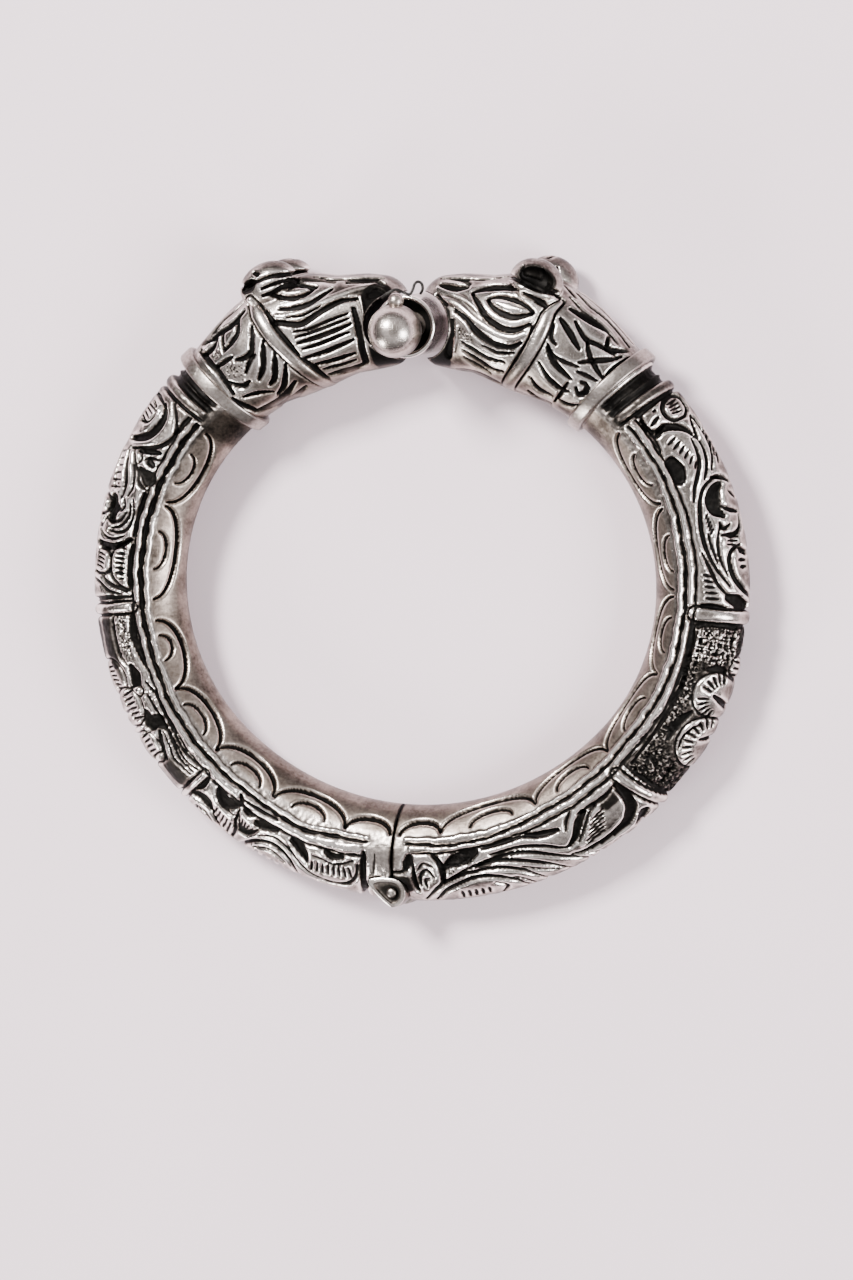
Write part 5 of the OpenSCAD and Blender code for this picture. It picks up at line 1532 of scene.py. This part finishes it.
def patina_group():
    """Silver that is bright where it is rubbed and black where it isn't, and that shows the painted light
    and shade in its shine.
    """
    tree, nodes, start, end = new_group(
        "patina",
        (("Vector", "Vector", None), ("Shine", "Float", 1.0), ("Flank", "Float", 0.0),
         ("Smudge", "Float", 0.3), ("Grain", "Float", 1.0)),
        (("Color", "Color"), ("Roughness", "Float"), ("Metallic", "Float"), ("Height", "Float")))
    vector, shine, flank, smudge, amount = (
        start.outputs[label] for label in ("Vector", "Shine", "Flank", "Smudge", "Grain"))
    cloud = nodes.noise(vector, 330.0, 5.0, 0.6)
    fleck = nodes.noise(vector, 2600.0, 3.0, 0.55)
    wander = nodes.maths("MULTIPLY", nodes.maths("SUBTRACT", cloud, 0.5), smudge)
    speck = nodes.maths("MULTIPLY", nodes.maths("SUBTRACT", fleck, 0.5), 0.32)
    rubbed = nodes.maths("ADD", nodes.maths("ADD", shine, wander), speck, True)
    stain = nodes.remap(nodes.noise(vector, 150.0, 5.0, 0.65), 0.35, 0.7)
    film = nodes.mix(nodes.maths("MULTIPLY", stain, 0.8), FILM_PALE, FILM_BROWN)
    rough = nodes.remap(rubbed, 0.1, 0.95, 0.5, 0.17)
    rough = nodes.maths("ADD", rough, nodes.maths("MULTIPLY", flank, 0.1))
    dents = nodes.maths("MULTIPLY", nodes.noise(vector, 900.0, 3.0), 0.7)
    nodes.feed(end, {
        "Color": nodes.mix(flank, nodes.stops(rubbed, PATINA), film, "MULTIPLY"),
        "Roughness": nodes.maths("ADD", rough, nodes.maths("MULTIPLY", speck, 0.5)),
        "Metallic": nodes.remap(rubbed, 0.0, 0.4, 0.92, 1.0),
        "Height": nodes.maths("MULTIPLY", nodes.maths("ADD", dents, fleck), amount)})
    return tree


def scratch_group():
    """Fine handling scratches in two directions."""
    tree, nodes, start, end = new_group(
        "fine_scratches", (("Vector", "Vector", None), ("Amount", "Float", 1.0)),
        (("Mask", "Float"), ("Height", "Float")))
    lines = []
    for turn, scale in (((0.3, 0.2, 0.6), (300, 9000, 4000)), ((1.1, 0.5, 2.2), (9000, 400, 3000))):
        turned = nodes.add("Mapping", {"Vector": start.outputs["Vector"], "Rotation": turn,
                                       "Scale": scale}).outputs[0]
        lines.append(nodes.remap(nodes.noise(turned, 1.0, 2.0), 0.62, 0.75))
    mask = nodes.maths("MULTIPLY", nodes.maths("MAXIMUM", *lines), start.outputs["Amount"])
    nodes.feed(end, {"Mask": mask, "Height": nodes.maths("SUBTRACT", 1.0, mask)})
    return tree


def silver_finish(name, patina, scratches, smudge, grain, bump, marks):
    """Silver with its own amounts of smudges, grain, bumps and scratches."""
    material, nodes, shader = new_material(name)
    vector = nodes.place()
    shine, flank = (nodes.add("Attribute", attribute_name=label).outputs["Fac"]
                    for label in ("shine", "flank"))
    silver = nodes.add("Group", node_tree=patina)
    nodes.feed(silver, {"Vector": vector, "Shine": shine, "Flank": flank, "Smudge": smudge,
                        "Grain": grain})
    fine = nodes.add("Group", node_tree=scratches)
    nodes.feed(fine, {"Vector": vector, "Amount": marks})
    scuffed = nodes.maths("MULTIPLY", fine.outputs["Mask"], 0.12)
    height = nodes.maths("ADD", silver.outputs["Height"], fine.outputs["Height"])
    nodes.feed(shader, {
        "Base Color": silver.outputs["Color"], "Metallic": silver.outputs["Metallic"],
        "Roughness": nodes.maths("ADD", silver.outputs["Roughness"], scuffed),
        "Normal": nodes.bump(height, bump, 0.00004)})
    return material


WIRE_TONES = ((0.3, (0.012, 0.01, 0.01)), (0.6, (0.03, 0.028, 0.026)), (0.85, (0.16, 0.15, 0.14)))
FLOOR_TONES = ((0.3, (0.845, 0.7, 0.75)), (0.7, (0.875, 0.73, 0.78)))


def wire_finish():
    """Blackened wire with a few rubbed spots."""
    material, nodes, shader = new_material("dark_wire_tarnish")
    cloud = nodes.noise(nodes.place(), 1500.0, 3.0)
    nodes.feed(shader, {
        "Base Color": nodes.stops(cloud, WIRE_TONES), "Metallic": 0.8,
        "Roughness": nodes.remap(cloud, 0.3, 0.8, 0.6, 0.35),
        "Normal": nodes.bump(cloud, 0.4, 0.00003)})
    return material


def paper_finish():
    material, nodes, shader = new_material("pale_floor")
    cloud = nodes.noise(nodes.place(), 30.0, 2.0)
    nodes.feed(shader, {"Base Color": nodes.stops(cloud, FLOOR_TONES), "Roughness": 0.9,
                        "Specular IOR Level": 0.1})
    return material


# Camera, floor and light
VIEW_RIGHT = Vector((0.9535, -0.0139, -0.3011)).normalized()
VIEW_UP = Vector((-0.0074, 0.9976, -0.0695))
# From the floor to the camera
VIEW_BACK = VIEW_RIGHT.cross(VIEW_UP).normalized()
FRAME_WIDTH, SENSOR_WIDTH = 109.9 * MM, 36.0
LOOK_RIGHT, LOOK_UP = 0.80 * MM, -7.21 * MM
CAMERA_AWAY = 2.0
FLOOR_HALF, FLOOR_GAP = 3.0, 0.00002


def place_camera():
    """Long lens at the photo's angle, above the floor."""
    up = VIEW_BACK.cross(VIEW_RIGHT).normalized()
    target = VIEW_RIGHT * LOOK_RIGHT + up * LOOK_UP
    data = bpy.data.cameras.new("camera")
    data.sensor_fit = "HORIZONTAL"
    data.sensor_width = SENSOR_WIDTH
    data.lens = SENSOR_WIDTH * CAMERA_AWAY / FRAME_WIDTH
    data.clip_start, data.clip_end = 0.05, 10
    camera = plain_object("camera", data)
    turn = Matrix((VIEW_RIGHT, up, VIEW_BACK)).transposed().to_4x4()
    camera.matrix_world = Matrix.Translation(target + VIEW_BACK * CAMERA_AWAY) @ turn
    bpy.context.scene.camera = camera


def resting_plane(pieces):
    """Height at y 0 and slope along y of the floor that the bangle rests on."""
    low = np.vstack([read_vectors(piece.data.vertices, "co")[:, 1:] for piece in pieces])
    slopes = np.linspace(-0.06, 0.02, 321)
    heights = [np.min(low[:, 1] - slope * low[:, 0]) for slope in slopes]
    best = int(np.argmax(heights))
    return heights[best], slopes[best]


def lay_floor(pieces):
    height, slope = resting_plane(pieces)
    corners = [(x, y, height + slope * y - FLOOR_GAP) for x, y in
               ((-FLOOR_HALF, -FLOOR_HALF), (FLOOR_HALF, -FLOOR_HALF),
                (FLOOR_HALF, FLOOR_HALF), (-FLOOR_HALF, FLOOR_HALF))]
    mesh = plain_mesh("floor", corners, [(0, 1, 2, 3)])
    mesh.materials.append(paper_finish())
    floor = plain_object("floor", mesh)


# Soft lights. Columns: name, place, size, power, colour.
LIGHTS = (("key", (-0.35, 0.5, 0.75), 0.25, 21.0, (1.0, 0.99, 0.98)),
          ("fill", (0.7, -0.15, 0.5), 0.35, 10.0, (0.97, 0.98, 1.0)),
          ("low", (-0.5, -0.5, 0.3), 0.2, 4.0, (1.0, 0.98, 0.96)))
# Brightness of the studio by how near it lies to the dark camera. Columns: nearness, colour.
STUDIO = ((0.0, (0.5, 0.48, 0.49)), (0.48, (0.05, 0.05, 0.05)), (0.6, (0.11, 0.11, 0.11)),
          (0.74, (0.3, 0.3, 0.31)), (0.85, (0.85, 0.84, 0.86)), (0.93, (0.95, 0.94, 0.95)),
          (0.972, (0.45, 0.44, 0.43)), (1.0, (0.14, 0.135, 0.13)))


def light_scene():
    for name, place, size, power, colour in LIGHTS:
        data = bpy.data.lights.new(name, "AREA")
        data.shape, data.size, data.energy, data.color = "SQUARE", size, power, colour
        lamp = plain_object(name, data)
        lamp.location = place
        lamp.rotation_euler = Vector(place).to_track_quat("Z", "Y").to_euler()
    world = bpy.data.worlds.new("studio")
    bpy.context.scene.world = world
    world.use_nodes = True
    nodes = Nodes(world.node_tree)
    way = nodes.add("TexCoord").outputs["Generated"]
    nearness = nodes.add("VectorMath", {0: way, 1: VIEW_BACK}, operation="DOT_PRODUCT")
    tone = nodes.stops(nodes.remap(nearness.outputs["Value"], -1, 1), STUDIO)
    nodes.feed(world.node_tree.nodes["Background"], {0: tone, 1: 1.0})


# Putting it together
# psi at which each band's mesh is parted, and the steps of the upper and lower lengths
LEFT_PART, RIGHT_PART = 187.0, 351.9
UPPER_STEP, LOWER_STEP = 0.14, 0.155


def band_pieces(material):
    """Each band in an upper and a lower length, all raised from one sheet."""
    sheet = carve_band()
    worn, shine = sheet.rounded(), sheet.shine()
    lengths = (("left", "upper", end_at_collar(LEFT), end_plain(LEFT_PART), UPPER_STEP),
               ("left", "lower", end_plain(LEFT_PART), end_at_hinge(LEFT), LOWER_STEP),
               ("right", "lower", end_at_hinge(RIGHT), end_plain(RIGHT_PART), LOWER_STEP),
               ("right", "upper", end_plain(RIGHT_PART), end_at_collar(RIGHT), UPPER_STEP))
    return [band_piece(f"band_{half}_{part}", half + "_half", "band_" + half, start, end, step,
                       sheet, worn, shine, material) for half, part, start, end, step in lengths]


def build():
    place_camera()
    patina, scratches = patina_group(), scratch_group()
    relief = silver_finish("relief_silver", patina, scratches, 0.62, 1.0, 0.4, 0.35)
    polish = silver_finish("worn_polish", patina, scratches, 0.12, 0.25, 0.25, 0.8)
    wire = wire_finish()
    wire_tree = bent_wire_tree()
    pieces = band_pieces(relief)
    hinge_pieces(relief, polish)
    for side, half in ((LEFT, "left"), (RIGHT, "right")):
        node, body = "lion_head_" + half, half + "_half"
        pieces.append(head_piece(side, "head_" + half, body, node, relief))
        pieces.append(collar_piece(side, "collar_" + half, body, node, polish))
    make_piece("barrel", barrel(), "right_half", ["lion_head_right"], relief,
               sharp=40)
    make_piece("tongue", tongue(), "left_half", ["lion_head_left"], relief,
               sharp=30)
    ball_screw_piece(polish, wire_tree)
    keeper_piece(wire, wire_tree)
    lay_floor(pieces)
    light_scene()


build()
